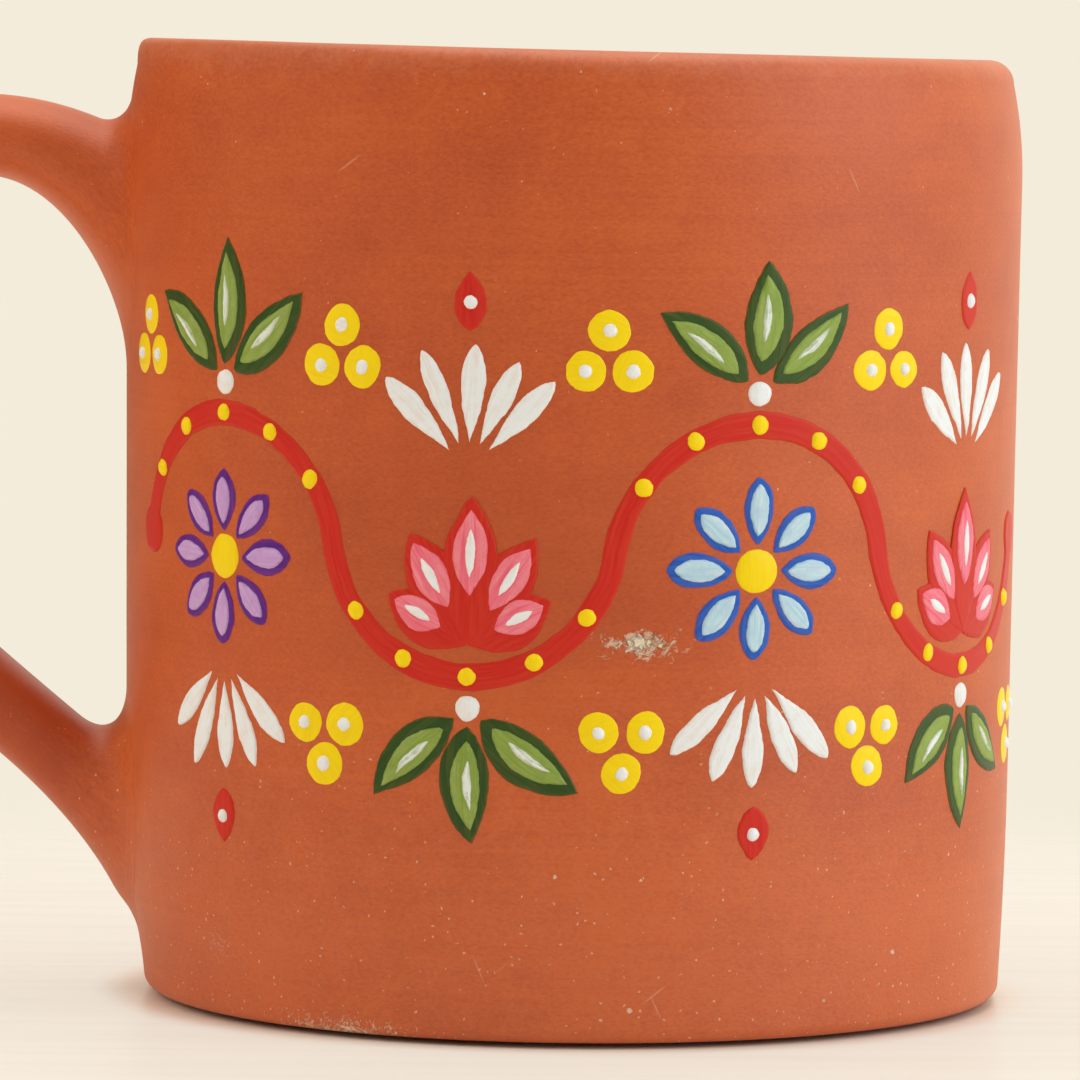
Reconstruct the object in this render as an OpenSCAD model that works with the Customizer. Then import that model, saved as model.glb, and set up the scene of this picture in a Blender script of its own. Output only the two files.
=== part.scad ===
// Terracotta mug: a thrown cup, a pulled ear handle joined with slip, and a painted flowering vine.
// Millimetres, +Z up. The origin is the middle of the foot, and the handle stands out along -X.
// The painted side faces -Y.

/* [Cup] */
// Height from the table to the lip
cup_h = 86.2; // [82:0.2:98]
// Outside diameter just above the rounded foot edge
foot_d = 79.7; // [76:0.1:82]
// Outside diameter at the belly
belly_d = 81; // [79:0.1:85]
// Height of the belly
belly_z = 26; // [20:1:34]
// Outside diameter at the shoulder, the widest place
shoulder_d = 81.8; // [80:0.1:86]
// Height of the lip zone above the shoulder
lip_h = 11; // [8:0.5:14]
// How far the lip leans in from the shoulder
lip_lean = 0.9; // [0.4:0.1:2]
// Thickness of the wall, which is also the thickness of the rounded rim
wall_t = 4.4; // [3.6:0.1:6]
// Thickness of the wall just above the floor
heel_t = 6; // [4.5:0.1:8]
// Thickness of the floor
floor_t = 6; // [4:0.2:9]
// Radius of the rounded foot edge
foot_round = 2.2; // [1:0.1:3.5]
// Radius inside, where the wall meets the floor
inside_round = 9; // [4:0.5:14]

/* [Handle] */
// How far the handle stands out from the belly
handle_reach = 39; // [34:0.5:46]
// Depth of the handle's top below the lip
handle_drop = 4.6; // [3.5:0.1:10]
// Radius of the bow, on its middle line
bow_r = 21.5; // [18:0.5:24]
// Radius of the arched upper arm, on its top edge
arch_r = 30.5; // [26:0.5:50]
// Height at which the middle line of the lower arm meets the wall
lower_root_z = 16; // [14.5:0.5:22]
// Thickness of the strap at the top of the bow
strap_top_t = 7.6; // [6:0.1:10]
// Thickness of the strap at the bottom of the bow
strap_bow_t = 6.8; // [5.5:0.1:9]
// Thickness of the lower arm at the wall
strap_low_t = 7.4; // [6:0.1:9]
// Width of the strap at the top
strap_top_w = 13; // [10:0.5:17]
// Width of the strap at the bottom of the bow
strap_bow_w = 12; // [9:0.5:16]
// Width of the lower arm at the wall
strap_low_w = 11.5; // [9:0.5:15]
// Roundness of the strap's section, where 2 is an ellipse and more is squarer
strap_square = 2.3; // [2:0.1:3.5]

/* [Handle roots] */
// Reach along the arm of the blend above the upper root
upper_over_reach = 2.3; // [1.5:0.1:5]
// Spread on the wall of the blend above the upper root
upper_over_spread = 4; // [2:0.5:5]
// Reach along the arm of the blend below the upper root
upper_under_reach = 13; // [8:0.5:13.5]
// Spread on the wall of the blend below the upper root
upper_under_spread = 12.5; // [6:0.5:18]
// Reach along the arm of the blend above the lower root
lower_over_reach = 4.5; // [2:0.5:9]
// Spread on the wall of the blend above the lower root
lower_over_spread = 7; // [3:0.5:12]
// Reach along the arm of the blend below the lower root
lower_under_reach = 9; // [4:0.5:11]
// Spread on the wall of the blend below the lower root
lower_under_spread = 6; // [3:0.5:7]
// Reach along the arm of the blends at the sides of both roots
side_reach = 7; // [3:0.5:11]
// Spread on the wall of the blends at the sides of both roots
side_spread = 4.5; // [2:0.5:8]
// Thickness of the slip between the wall and the handle
slip_t = 0.5; // [0.3:0.1:0.8]

/* [Painted vine] */
// Thickness of one coat of paint
coat_t = 0.2; // [0.1:0.05:0.3]
// Height of the vine's middle line
vine_z = 43; // [41:0.5:46]
// Angle round the cup that one half wave of the vine takes
vine_step = 36; // [34:1:40]
// Rise of each wave from the middle line
vine_rise = 11; // [9:0.5:12]
// Width of the vine
vine_w = 2.2; // [1.8:0.1:2.8]
// Diameter of the dots along the vine
vine_dot_d = 1.6; // [1:0.1:1.8]
// Dots on each half wave
vine_dots_per_wave = 5; // [3:1:7]

/* [Leaves] */
// Length of a leaf
leaf_len = 10.5; // [7:0.5:12]
// Width of a leaf
leaf_w = 4.4; // [3:0.1:5]
// Angle between the leaves of a spray
leaf_spread = 50; // [42:1:60]
// Diameter of the dot at the root of each spray
leaf_dot_d = 2.2; // [1.4:0.1:2.6]

/* [Flowers] */
// Diameter of a daisy
daisy_d = 16; // [13:0.5:18]
// Petals of a daisy
daisy_petals = 8; // [6:1:9]
// Width of a daisy petal
daisy_petal_w = 3.1; // [2:0.1:3.2]
// Diameter of the eye of a daisy
daisy_eye_d = 4; // [3:0.1:4.6]
// Height of a lotus
lotus_h = 12.5; // [10:0.5:14]
// Width of a lotus petal
lotus_petal_w = 5; // [3.5:0.1:5.5]
// Angle between the petals of a lotus
lotus_spread = 31; // [26:1:33]

/* [Berries, strokes and buds] */
// Diameter of a berry
berry_d = 3.6; // [2.6:0.1:4]
// Diameter of the dot on a berry and on a bud
berry_dot_d = 1.2; // [0.8:0.1:1.5]
// Length of a comma stroke
stroke_len = 8; // [5:0.5:9]
// Width of a comma stroke
stroke_w = 2.1; // [1.4:0.1:2.4]
// Strokes in each fan
strokes_per_fan = 5; // [3:2:5]
// Length of a bud
bud_len = 5; // [3.5:0.5:6]
// Width of a bud
bud_w = 3; // [2:0.1:4]

/* [Hidden] */
$fn = 96;
// Sides of the circles that only a short stretch is used of
arc_sides = 256;

// Cup profile
foot_r = foot_d / 2;
belly_r = belly_d / 2;
shoulder_r = shoulder_d / 2;
shoulder_z = cup_h - lip_h;
rim_r = wall_t / 2;
rim_z = cup_h - rim_r;
lip_r = shoulder_r - lip_lean;
// A length that clears the whole mug, for cutting
clear = cup_h + shoulder_d;

// Handle path, as points [x, z] in the plane of the handle
handle_top_z = cup_h - handle_drop;
bow_x = -belly_r - handle_reach + bow_r + strap_bow_t / 2;
bow_z = handle_top_z - strap_top_t / 2 - bow_r;
upper_arm = -belly_r - bow_x;
root_dz = bow_z - lower_root_z;
// The lower arm leaves its root on the line that touches the bow
lower_angle = atan2(root_dz, upper_arm) - asin(bow_r / norm([upper_arm, root_dz]));
bow_end = 270 - lower_angle;
low_half_z = strap_low_t / 2 / cos(lower_angle);
// Length of the lower arm, out from the wall, that has upright sections
lower_arm = max(lower_under_reach, lower_over_reach, side_reach) + slip_t;
// How far the raw ends of the strap run into the wall before they are trimmed to it
root_depth = 1.5;
ring_points = 24;
bow_rings = 16;
root_rings = 12;

// Painted layout
wave_count = 4;
vine_half = wall_r(vine_z) * sin(vine_step / 2);
vine_arc_r = (vine_half * vine_half + vine_rise * vine_rise) / (2 * vine_rise);
vine_centre = vine_rise - vine_arc_r;
vine_dot_angle = asin(min(vine_half / vine_arc_r, 1)) * 2 / (vine_dots_per_wave + 1);
vine_lap = 0.3;
// Bare clay left between two motifs
paint_gap = 0.5;
// Share of a petal or a leaf that the lighter coat on it takes, in length and in width
inner_share = 0.7;
inner_slim = 0.5;
// Share of a leaf or a petal that its highlight takes
light_share = 0.42;
light_slim = 0.15;
spray_z = vine_rise + vine_w / 2 + paint_gap + leaf_dot_d / 2;
leaf_start = leaf_dot_d / 2 + paint_gap;
// A lotus starts this far above the vine, so that its outer petals stay clear of it
lotus_gap = 1.8;
lotus_z = vine_w / 2 + lotus_gap - vine_rise;
// Length of the middle, side and outer petals of a lotus, as shares of its height
lotus_sides = [1, 0.88, 0.68];
// Strokes of a fan start this far from the point that they spread from
fan_gap = 2.5;
fan_spread = 22;
fan_of_lotus_z = lotus_z + lotus_h + fan_gap;
fan_of_daisy_z = daisy_d / 2 - vine_centre + paint_gap;
bud_gap = 1.5;
// Place of the berries between two sprays, as a share of a half wave
berry_turn = 0.53;
berry_z = vine_rise + vine_w + berry_d;
berry_pitch = berry_d + paint_gap;
berry_ring_r = berry_pitch / sqrt(3);
// Bare clay left between the handle's upper root and the first berries
root_gap = 0.6;
// Angle at which the first berries stand, next to the handle, and the angle of the painting's middle
first_berries = asin((strap_top_w / 2 + side_spread) / belly_r)
    + asin((berry_ring_r + berry_d / 2 + root_gap) / belly_r) - 90;
paint_turn = first_berries + (berry_turn + (wave_count - 1) / 2) * vine_step;

// Radius of the arc that leaves an upright line and moves in by a given amount over a height
// It is negative where the arc flares out
function arc_radius(height, inward) = (height * height + inward * inward) / (2 * inward);

// Radius of the wall on such an arc, at a distance up or down from the place where it is upright
function arc_side(upright_r, height, inward, away) =
    inward == 0 ? upright_r :
    let (r = arc_radius(height, inward))
    upright_r - r + sign(r) * sqrt(r * r - away * away);

// Radius of the outside of the wall at a height
function wall_r(z) =
    z < belly_z ? arc_side(belly_r, belly_z - foot_round, belly_r - foot_r, belly_z - z) :
    z < shoulder_z ? mix(belly_r, shoulder_r, (z - belly_z) / (shoulder_z - belly_z)) :
    arc_side(shoulder_r, rim_z - shoulder_z, lip_lean, z - shoulder_z);

// Drop below its highest point of an arc at a distance to one side
function arc_drop(r, aside) = r - sqrt(r * r - aside * aside);

// Extra breadth of an arm at a distance from the wall, as a quarter of an ellipse
function blend(d, reach, spread) =
    d >= reach ? 0 : spread * (1 - sqrt(1 - pow((reach - max(d, 0)) / reach, 2)));

function mix(a, b, t) = a + (b - a) * t;

// Distances from the wall at which a root has its rings, closer together near the wall
function root_steps(arm) = [for (i = [0 : root_rings]) arm * pow(i / root_rings, 2)];

// Each station of the strap is [edge on the outer side, edge on the finger side, half width, distance]
// The distance from the wall is -1 where the section no longer follows the wall
function upper_station(d, at) = [
    [-belly_r - at, handle_top_z - arc_drop(arch_r, upper_arm - d)
        + blend(d, upper_over_reach, upper_over_spread)],
    [-belly_r - at, handle_top_z - strap_top_t - arc_drop(arch_r - strap_top_t, upper_arm - d)
        - blend(d, upper_under_reach, upper_under_spread)],
    strap_top_w / 2 + blend(d, side_reach, side_spread),
    at
];

function bow_station(t) =
    let (a = mix(90, bow_end, t), half = mix(strap_top_t, strap_bow_t, t) / 2,
         way = [cos(a), sin(a)], middle = [bow_x, bow_z])
    [middle + way * (bow_r + half), middle + way * (bow_r - half),
     mix(strap_top_w, strap_bow_w, t) / 2, -1];

bow_last = bow_station(1);

// Height of a straight edge of the lower arm, which runs from the end of the bow to the wall
function lower_edge(from, to_z, d) = mix(to_z, from[1], d / (-belly_r - from[0]));

function lower_station(d, at) = [
    [-belly_r - at, lower_edge(bow_last[0], lower_root_z - low_half_z, d)
        - blend(d, lower_under_reach, lower_under_spread)],
    [-belly_r - at, lower_edge(bow_last[1], lower_root_z + low_half_z, d)
        + blend(d, lower_over_reach, lower_over_spread)],
    mix(strap_low_w, strap_bow_w, d / (-belly_r - bow_last[0][0])) / 2
        + blend(d, side_reach, side_spread),
    at
];

upper_steps = root_steps(upper_arm);
lower_steps = root_steps(lower_arm);
stations = concat(
    [upper_station(0, -root_depth)],
    [for (i = [0 : root_rings - 1]) upper_station(upper_steps[i], upper_steps[i])],
    [for (i = [0 : bow_rings]) bow_station(i / bow_rings)],
    [for (i = [root_rings : -1 : 0]) lower_station(lower_steps[i], lower_steps[i])],
    [lower_station(0, -root_depth)]
);

// Signed power, for a section that is squarer than an ellipse
function soft(v) = sign(v) * pow(abs(v), 2 / strap_square);

// Share by which a ring follows the round wall, from all of it at the wall to none at the arm's end
function hug(s) = s[3] == -1 ? 0 : 1 - max(s[3], 0) / max(upper_arm, lower_arm);

// One point of a ring, bent to stay at one distance from the round wall near the roots
function ring_point(s, a) =
    let (p = (s[0] + s[1]) / 2 + (s[0] - s[1]) / 2 * soft(cos(a)),
         y = s[2] * soft(sin(a)),
         round_x = -sqrt(pow(wall_r(p[1]) + s[3], 2) - y * y))
    [mix(p[0], round_x, hug(s)), y, p[1]];

strap_points = [
    for (s = stations)
        for (i = [0 : ring_points - 1]) ring_point(s, 360 * i / ring_points)
];
strap_sides = [
    for (r = [0 : len(stations) - 2])
        for (i = [0 : ring_points - 1])
            let (a = r * ring_points + i, b = r * ring_points + (i + 1) % ring_points)
            each [[a, b + ring_points, b], [a, a + ring_points, b + ring_points]]
];
last_ring = (len(stations) - 1) * ring_points;
strap_ends = [
    [for (i = [0 : ring_points - 1]) i],
    [for (i = [ring_points - 1 : -1 : 0]) last_ring + i]
];

// Zone of the half section whose side is an arc, upright at one height, that moves in by an amount at another
module arc_zone(upright_r, upright_z, away_z, inward, grow) {
    height = abs(upright_z - away_z);
    r = arc_radius(height, inward);
    translate([0, min(upright_z, away_z)])
        if (inward > 0)
            intersection() {
                square([clear, height]);
                translate([upright_r - r, max(upright_z - away_z, 0)])
                    circle(r + grow, $fn = arc_sides);
            }
        else
            difference() {
                square([upright_r - inward + grow, height]);
                if (inward < 0)
                    translate([upright_r - r, max(upright_z - away_z, 0)])
                        circle(-r - grow, $fn = arc_sides);
            }
}

// Half section of the cup's outside, from the axis out, grown by a film of a given thickness
module wall_outline(grow) {
    // Foot with its rounded edge
    square([foot_r - foot_round, foot_round]);
    translate([foot_r - foot_round, foot_round])
        intersection() {
            circle(foot_round + grow);
            translate([0, -foot_round])
                square([2 * foot_round, foot_round]);
        }
    // Heel, which swells to the belly
    arc_zone(belly_r, belly_z, foot_round, belly_r - foot_r, grow);
    // Straight wall
    polygon([
        [0, belly_z], [belly_r + grow, belly_z],
        [shoulder_r + grow, shoulder_z], [0, shoulder_z]
    ]);
    // Lip, which leans in, and its round rim
    arc_zone(shoulder_r, shoulder_z, rim_z, lip_lean, grow);
    translate([0, rim_z])
        square([lip_r - rim_r, rim_r + grow]);
    translate([lip_r - rim_r, rim_z])
        circle(rim_r + grow);
}

// Half section of the hollow inside
module hollow_outline() {
    heel_r = belly_r - heel_t;
    square_r = heel_r - inside_round;
    translate([0, floor_t])
        square([square_r, inside_round]);
    translate([square_r, floor_t + inside_round])
        circle(inside_round);
    polygon([
        [0, floor_t + inside_round], [heel_r, floor_t + inside_round],
        [shoulder_r - wall_t, shoulder_z], [lip_r - wall_t, rim_z], [0, rim_z]
    ]);
    translate([0, rim_z])
        square([lip_r - rim_r, clear]);
}

module cup_body() {
    color("#bf6039")
        rotate_extrude() {
            difference() {
                wall_outline(0);
                hollow_outline();
            }
            translate([lip_r - rim_r, rim_z])
                circle(rim_r);
        }
}

// The pulled strap before its ends are trimmed to the wall
module raw_strap() {
    polyhedron(points = strap_points, faces = concat(strap_sides, strap_ends));
}

module handle() {
    color("#b9572f")
        difference() {
            raw_strap();
            rotate_extrude()
                wall_outline(slip_t);
        }
}

// The space on the wall between two distances from the clay
module film(inner, outer) {
    rotate_extrude()
        intersection() {
            difference() {
                wall_outline(outer);
                wall_outline(inner);
            }
            translate([0, foot_round])
                square([clear, rim_z - foot_round]);
        }
}

// Film of slip on the wall, as broad as the end of the strap that it holds
module slip_joint(root) {
    color("#c46a44")
        intersection() {
            on_wall(-90, 0)
                polygon([
                    for (i = [0 : ring_points - 1])
                        let (p = ring_point(root, 360 * i / ring_points)) [p[1], p[2]]
                ]);
            film(0, slip_t);
        }
}

module upper_slip_joint() {
    slip_joint(upper_station(slip_t, slip_t));
}

module lower_slip_joint() {
    slip_joint(lower_station(slip_t, slip_t));
}

// The space that one coat of paint takes on the wall, counted from the clay out
module coat(layer) {
    film((layer - 1) * coat_t, layer * coat_t);
}

// Stands a flat motif upright on the wall at an angle round the cup and sends it through the paint
module on_wall(angle, z) {
    rotate([0, 0, angle])
        translate([0, -foot_r / 2, z])
            rotate([90, 0, 0])
                linear_extrude(foot_r)
                    children();
}

// Repeats a motif on each half wave of one kind: crests have kind 1, and troughs, turned over, have -1
module on_waves(kind) {
    for (i = [0 : wave_count - 1])
        if ((i % 2 == 0 ? 1 : -1) == kind)
            on_wall(wave_angle(i), vine_z)
                turn_over(kind)
                    children();
}

function wave_angle(i) = paint_turn + (i - (wave_count - 1) / 2) * vine_step;

// Turns a motif over for a trough, whose kind is -1
module turn_over(kind) {
    if (kind > 0)
        children();
    else
        mirror([0, 1])
            children();
}

module on_all_waves() {
    on_waves(1)
        children();
    on_waves(-1)
        children();
}

// A leaf or petal: two arcs that meet in points, from the origin up
module petal(length, width) {
    r = (length * length + width * width) / (4 * width);
    intersection_for (side = [-1, 1])
        translate([side * (r - width / 2), length / 2])
            circle(r, $fn = arc_sides);
}

// The part of a petal that a lighter coat or a highlight covers, centred on the petal
module petal_core(length, width, share_len, share_w) {
    translate([0, length * (1 - share_len) / 2])
        petal(length * share_len, width * share_w);
}

// One half wave of the vine, above its middle line, with a short lap into the next one
module vine_wave() {
    intersection() {
        translate([0, vine_centre])
            difference() {
                circle(vine_arc_r + vine_w / 2);
                circle(vine_arc_r - vine_w / 2);
            }
        translate([-clear / 2, -vine_lap])
            square([clear, clear]);
    }
}

module vine_line() {
    color("#b8261c")
        intersection() {
            union() {
                on_all_waves()
                    vine_wave();
                for (side = [-1, 1])
                    on_wall(paint_turn + side * wave_count / 2 * vine_step, vine_z)
                        circle(vine_w);
            }
            coat(1);
        }
}

module vine_dots() {
    color("#ebcb20")
        intersection() {
            on_all_waves()
                for (k = [0 : vine_dots_per_wave - 1])
                    translate([0, vine_centre])
                        rotate((k - (vine_dots_per_wave - 1) / 2) * vine_dot_angle)
                            translate([0, vine_arc_r])
                                circle(d = vine_dot_d);
            coat(2);
        }
}

// The places of the three leaves of a spray, which stands on the outer side of a wave
module leaf_places() {
    for (turn = [-1, 0, 1])
        translate([0, spray_z])
            rotate(turn * leaf_spread)
                translate([0, leaf_start])
                    children();
}

module leaf_bases() {
    color("#2f4a24")
        intersection() {
            on_all_waves()
                leaf_places()
                    petal(leaf_len, leaf_w);
            coat(1);
        }
}

module leaf_centres() {
    color("#84943f")
        intersection() {
            on_all_waves()
                leaf_places()
                    petal_core(leaf_len, leaf_w, inner_share, inner_slim);
            coat(2);
        }
}

module leaf_highlights() {
    color("#e9ecd9")
        intersection() {
            on_all_waves()
                leaf_places()
                    petal_core(leaf_len, leaf_w, light_share, light_slim);
            coat(3);
        }
}

module leaf_root_dots() {
    color("#f2eee4")
        intersection() {
            on_all_waves()
                translate([0, spray_z])
                    circle(d = leaf_dot_d);
            coat(1);
        }
}

// The places of the petals of the daisy that hangs in the crest of a wave
module daisy_places(wave) {
    on_wall(wave_angle(wave), vine_z)
        translate([0, vine_centre])
            for (k = [0 : daisy_petals - 1])
                rotate(360 * k / daisy_petals)
                    translate([0, daisy_eye_d / 2 + paint_gap / 2])
                        children();
}

daisy_petal_len = (daisy_d - daisy_eye_d - paint_gap) / 2;

module daisy(wave, shade) {
    color(shade)
        intersection() {
            daisy_places(wave)
                petal(daisy_petal_len, daisy_petal_w);
            coat(1);
        }
}

module daisy_inner(wave, shade) {
    color(shade)
        intersection() {
            daisy_places(wave)
                petal_core(daisy_petal_len, daisy_petal_w, inner_share, inner_slim);
            coat(2);
        }
}

module violet_daisy() {
    daisy(0, "#6d2f78");
}

module violet_daisy_petals() {
    daisy_inner(0, "#c9a3cf");
}

module blue_daisy() {
    daisy(2, "#2d5e96");
}

module blue_daisy_petals() {
    daisy_inner(2, "#b5d2dc");
}

module daisy_eyes() {
    color("#ebcb20")
        intersection() {
            on_waves(1)
                translate([0, vine_centre])
                    circle(d = daisy_eye_d);
            coat(1);
        }
}

// The places of the five petals of the lotus that stands in the trough of a wave
// $length is the length of the petal at each place
module lotus_places() {
    for (turn = [-2 : 2])
        translate([0, -lotus_z])
            rotate(180 - turn * lotus_spread) {
                $length = lotus_h * lotus_sides[abs(turn)];
                children();
            }
}

module lotus_bases() {
    color("#c3272b")
        intersection() {
            on_waves(-1)
                lotus_places()
                    petal($length, lotus_petal_w);
            coat(1);
        }
}

module lotus_petals() {
    color("#f0a3ab")
        intersection() {
            on_waves(-1)
                lotus_places()
                    translate([0, $length * (1 - inner_share) / 2])
                        petal_core($length, lotus_petal_w, inner_share * inner_share, inner_slim);
            coat(2);
        }
}

module lotus_highlights() {
    color("#f7efe8")
        intersection() {
            on_waves(-1)
                lotus_places()
                    translate([0, $length * (1 - inner_share) / 2])
                        petal_core($length, lotus_petal_w, light_share * inner_share, light_slim);
            coat(3);
        }
}

// The places of the three berries on each side of a spray of leaves
module berry_places() {
    for (side = [-1, 1])
        for (i = [0 : wave_count - 1])
            on_wall(wave_angle(i) + side * berry_turn * vine_step, vine_z)
                turn_over(i % 2 == 0 ? 1 : -1)
                    for (k = [0 : 2])
                        translate([0, berry_z])
                            rotate(120 * k)
                                translate([0, berry_ring_r])
                                    children();
}

module berries() {
    color("#ebcb20")
        intersection() {
            berry_places()
                circle(d = berry_d);
            coat(1);
        }
}

module berry_dots() {
    color("#f7f2e6")
        intersection() {
            berry_places()
                circle(d = berry_dot_d);
            coat(2);
        }
}

// A fan of strokes from its foot up
module stroke_fan() {
    for (k = [0 : strokes_per_fan - 1])
        rotate((k - (strokes_per_fan - 1) / 2) * fan_spread)
            translate([0, fan_gap])
                petal(stroke_len, stroke_w);
}

// Places a motif beyond the open side of each flower, above the lotuses and below the daisies
// The shift moves it further out
module beyond_flowers(shift) {
    on_waves(-1)
        translate([0, -fan_of_lotus_z - shift])
            rotate(180)
                children();
    on_waves(1)
        translate([0, -fan_of_daisy_z - shift])
            rotate(180)
                children();
}

module comma_strokes() {
    color("#f4f0e8")
        intersection() {
            beyond_flowers(0)
                stroke_fan();
            coat(1);
        }
}

module buds() {
    color("#c3272b")
        intersection() {
            beyond_flowers(fan_gap + stroke_len + bud_gap)
                petal(bud_len, bud_w);
            coat(1);
        }
}

module bud_dots() {
    color("#f7f2e6")
        intersection() {
            beyond_flowers(fan_gap + stroke_len + bud_gap)
                translate([0, bud_len / 2])
                    circle(d = berry_dot_d);
            coat(2);
        }
}

cup_body();
handle();
upper_slip_joint();
lower_slip_joint();
vine_line();
vine_dots();
leaf_bases();
leaf_centres();
leaf_highlights();
leaf_root_dots();
violet_daisy();
violet_daisy_petals();
blue_daisy();
blue_daisy_petals();
daisy_eyes();
lotus_bases();
lotus_petals();
lotus_highlights();
berries();
berry_dots();
comma_strokes();
buds();
bud_dots();
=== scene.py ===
"""A terracotta mug with a pulled ear handle and a painted flowering vine, dressed around its solids."""
import math
from functools import partial

import bpy
import numpy as np
from bpy.props import FloatProperty, FloatVectorProperty, IntProperty, PointerProperty
from mathutils import Matrix, Vector


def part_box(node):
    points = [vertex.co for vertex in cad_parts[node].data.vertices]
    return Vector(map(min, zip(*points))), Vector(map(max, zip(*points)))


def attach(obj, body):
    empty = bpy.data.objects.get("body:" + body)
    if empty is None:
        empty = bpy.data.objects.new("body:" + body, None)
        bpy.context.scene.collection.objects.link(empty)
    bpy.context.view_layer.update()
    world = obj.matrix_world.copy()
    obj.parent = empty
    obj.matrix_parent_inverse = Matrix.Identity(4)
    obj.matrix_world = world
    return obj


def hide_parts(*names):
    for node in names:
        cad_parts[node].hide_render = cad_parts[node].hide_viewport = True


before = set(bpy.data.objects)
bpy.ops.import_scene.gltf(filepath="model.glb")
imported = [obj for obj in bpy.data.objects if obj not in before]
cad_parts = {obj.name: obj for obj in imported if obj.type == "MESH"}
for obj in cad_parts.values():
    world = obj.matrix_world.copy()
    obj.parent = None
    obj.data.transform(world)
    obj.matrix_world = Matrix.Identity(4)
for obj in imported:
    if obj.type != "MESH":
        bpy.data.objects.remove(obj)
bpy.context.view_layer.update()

bl_info = {
    "name": "Painted terracotta mug",
    "version": (1, 0, 0),
    "blender": (4, 5, 0),
    "location": "3D View > Sidebar > Clay mug",
    "description": "Throws, joins, paints and stages a terracotta mug around its solids",
    "category": "Object",
}

MM = 0.001
CUP_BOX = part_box("cup_body")
# The kinds of node that the trees use most
MATH, VECTOR, RANGE = "ShaderNodeMath", "ShaderNodeVectorMath", "ShaderNodeMapRange"
NOISE, MIX = "ShaderNodeTexNoise", "ShaderNodeMix"


# Units and properties

def linear(hex_colour):
    """An sRGB hex colour as the linear colour that shaders take."""
    parts = [int(hex_colour[i:i + 2], 16) / 255 for i in (1, 3, 5)]
    return (*[c / 12.92 if c <= 0.04045 else ((c + 0.055) / 1.055) ** 2.4 for c in parts], 1.0)


def length(name, mm, description):
    return FloatProperty(name=name, description=description, default=mm * MM, unit="LENGTH", precision=5)


def angle(name, degrees, description):
    return FloatProperty(name=name, description=description, default=math.radians(degrees), subtype="ANGLE")


def count(name, number, description):
    return IntProperty(name=name, description=description, default=number, min=1)


def colour(name, hex_colour, description):
    return FloatVectorProperty(name=name, description=description, default=linear(hex_colour),
                               size=4, min=0, max=1, subtype="COLOR")


class CupSizes(bpy.types.PropertyGroup):
    """Sizes of the thrown cup."""
    height: length("Height", CUP_BOX[1].z / MM, "From the table to the lip")
    foot_d: length("Foot diameter", 79.7, "Outside, just above the rounded foot edge")
    belly_d: length("Belly diameter", 81, "Outside, at the belly")
    belly_z: length("Belly height", 26, "Height of the belly above the table")
    shoulder_d: length("Shoulder diameter", 2 * CUP_BOX[1].x / MM, "Outside, at the widest place")
    lip_h: length("Lip zone", 11, "Height of the zone above the shoulder that leans in")
    lip_lean: length("Lip lean", 0.9, "How far the lip leans in from the shoulder")
    wall_t: length("Wall", 4.4, "Thickness of the wall and of the rounded rim")
    heel_t: length("Heel", 6, "Thickness of the wall just above the floor")
    floor_t: length("Floor", 6, "Thickness of the floor")
    foot_round: length("Foot edge", 1.3, "Radius of the rounded foot edge")
    foot_lift: length("Foot lift", 0.12, "How far the trimmed edge of the foot clears the table")
    foot_bevel: length("Foot bevel", 2.2, "Width of the slope from the table up to that edge")
    foot_press: length("Foot press", 1.2, "How far the foot is pressed in below the handle")
    press_h: length("Press height", 9.5, "Height above the table up to which it is pressed in")
    inside_round: length("Inside corner", 9, "Radius inside, where the wall meets the floor")
    around: count("Facets around", 320, "Columns of faces round the cup")
    rim_tilt: length("Rim tilt", 0.48, "How far the rim rises at the handle and falls opposite it")
    rim_corner: length("Rim corner", 1, "How far the rim's outer corner is squared at the handle")
    unevenness: length("Unevenness", 0.09, "How far the thrown wall strays from a true round")
    finger_ring: length("Finger rings", 0.12, "Depth of the rings that fingers leave inside")
    finger_pitch: length("Finger ring pitch", 6.5, "Height from one finger ring to the next")


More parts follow.
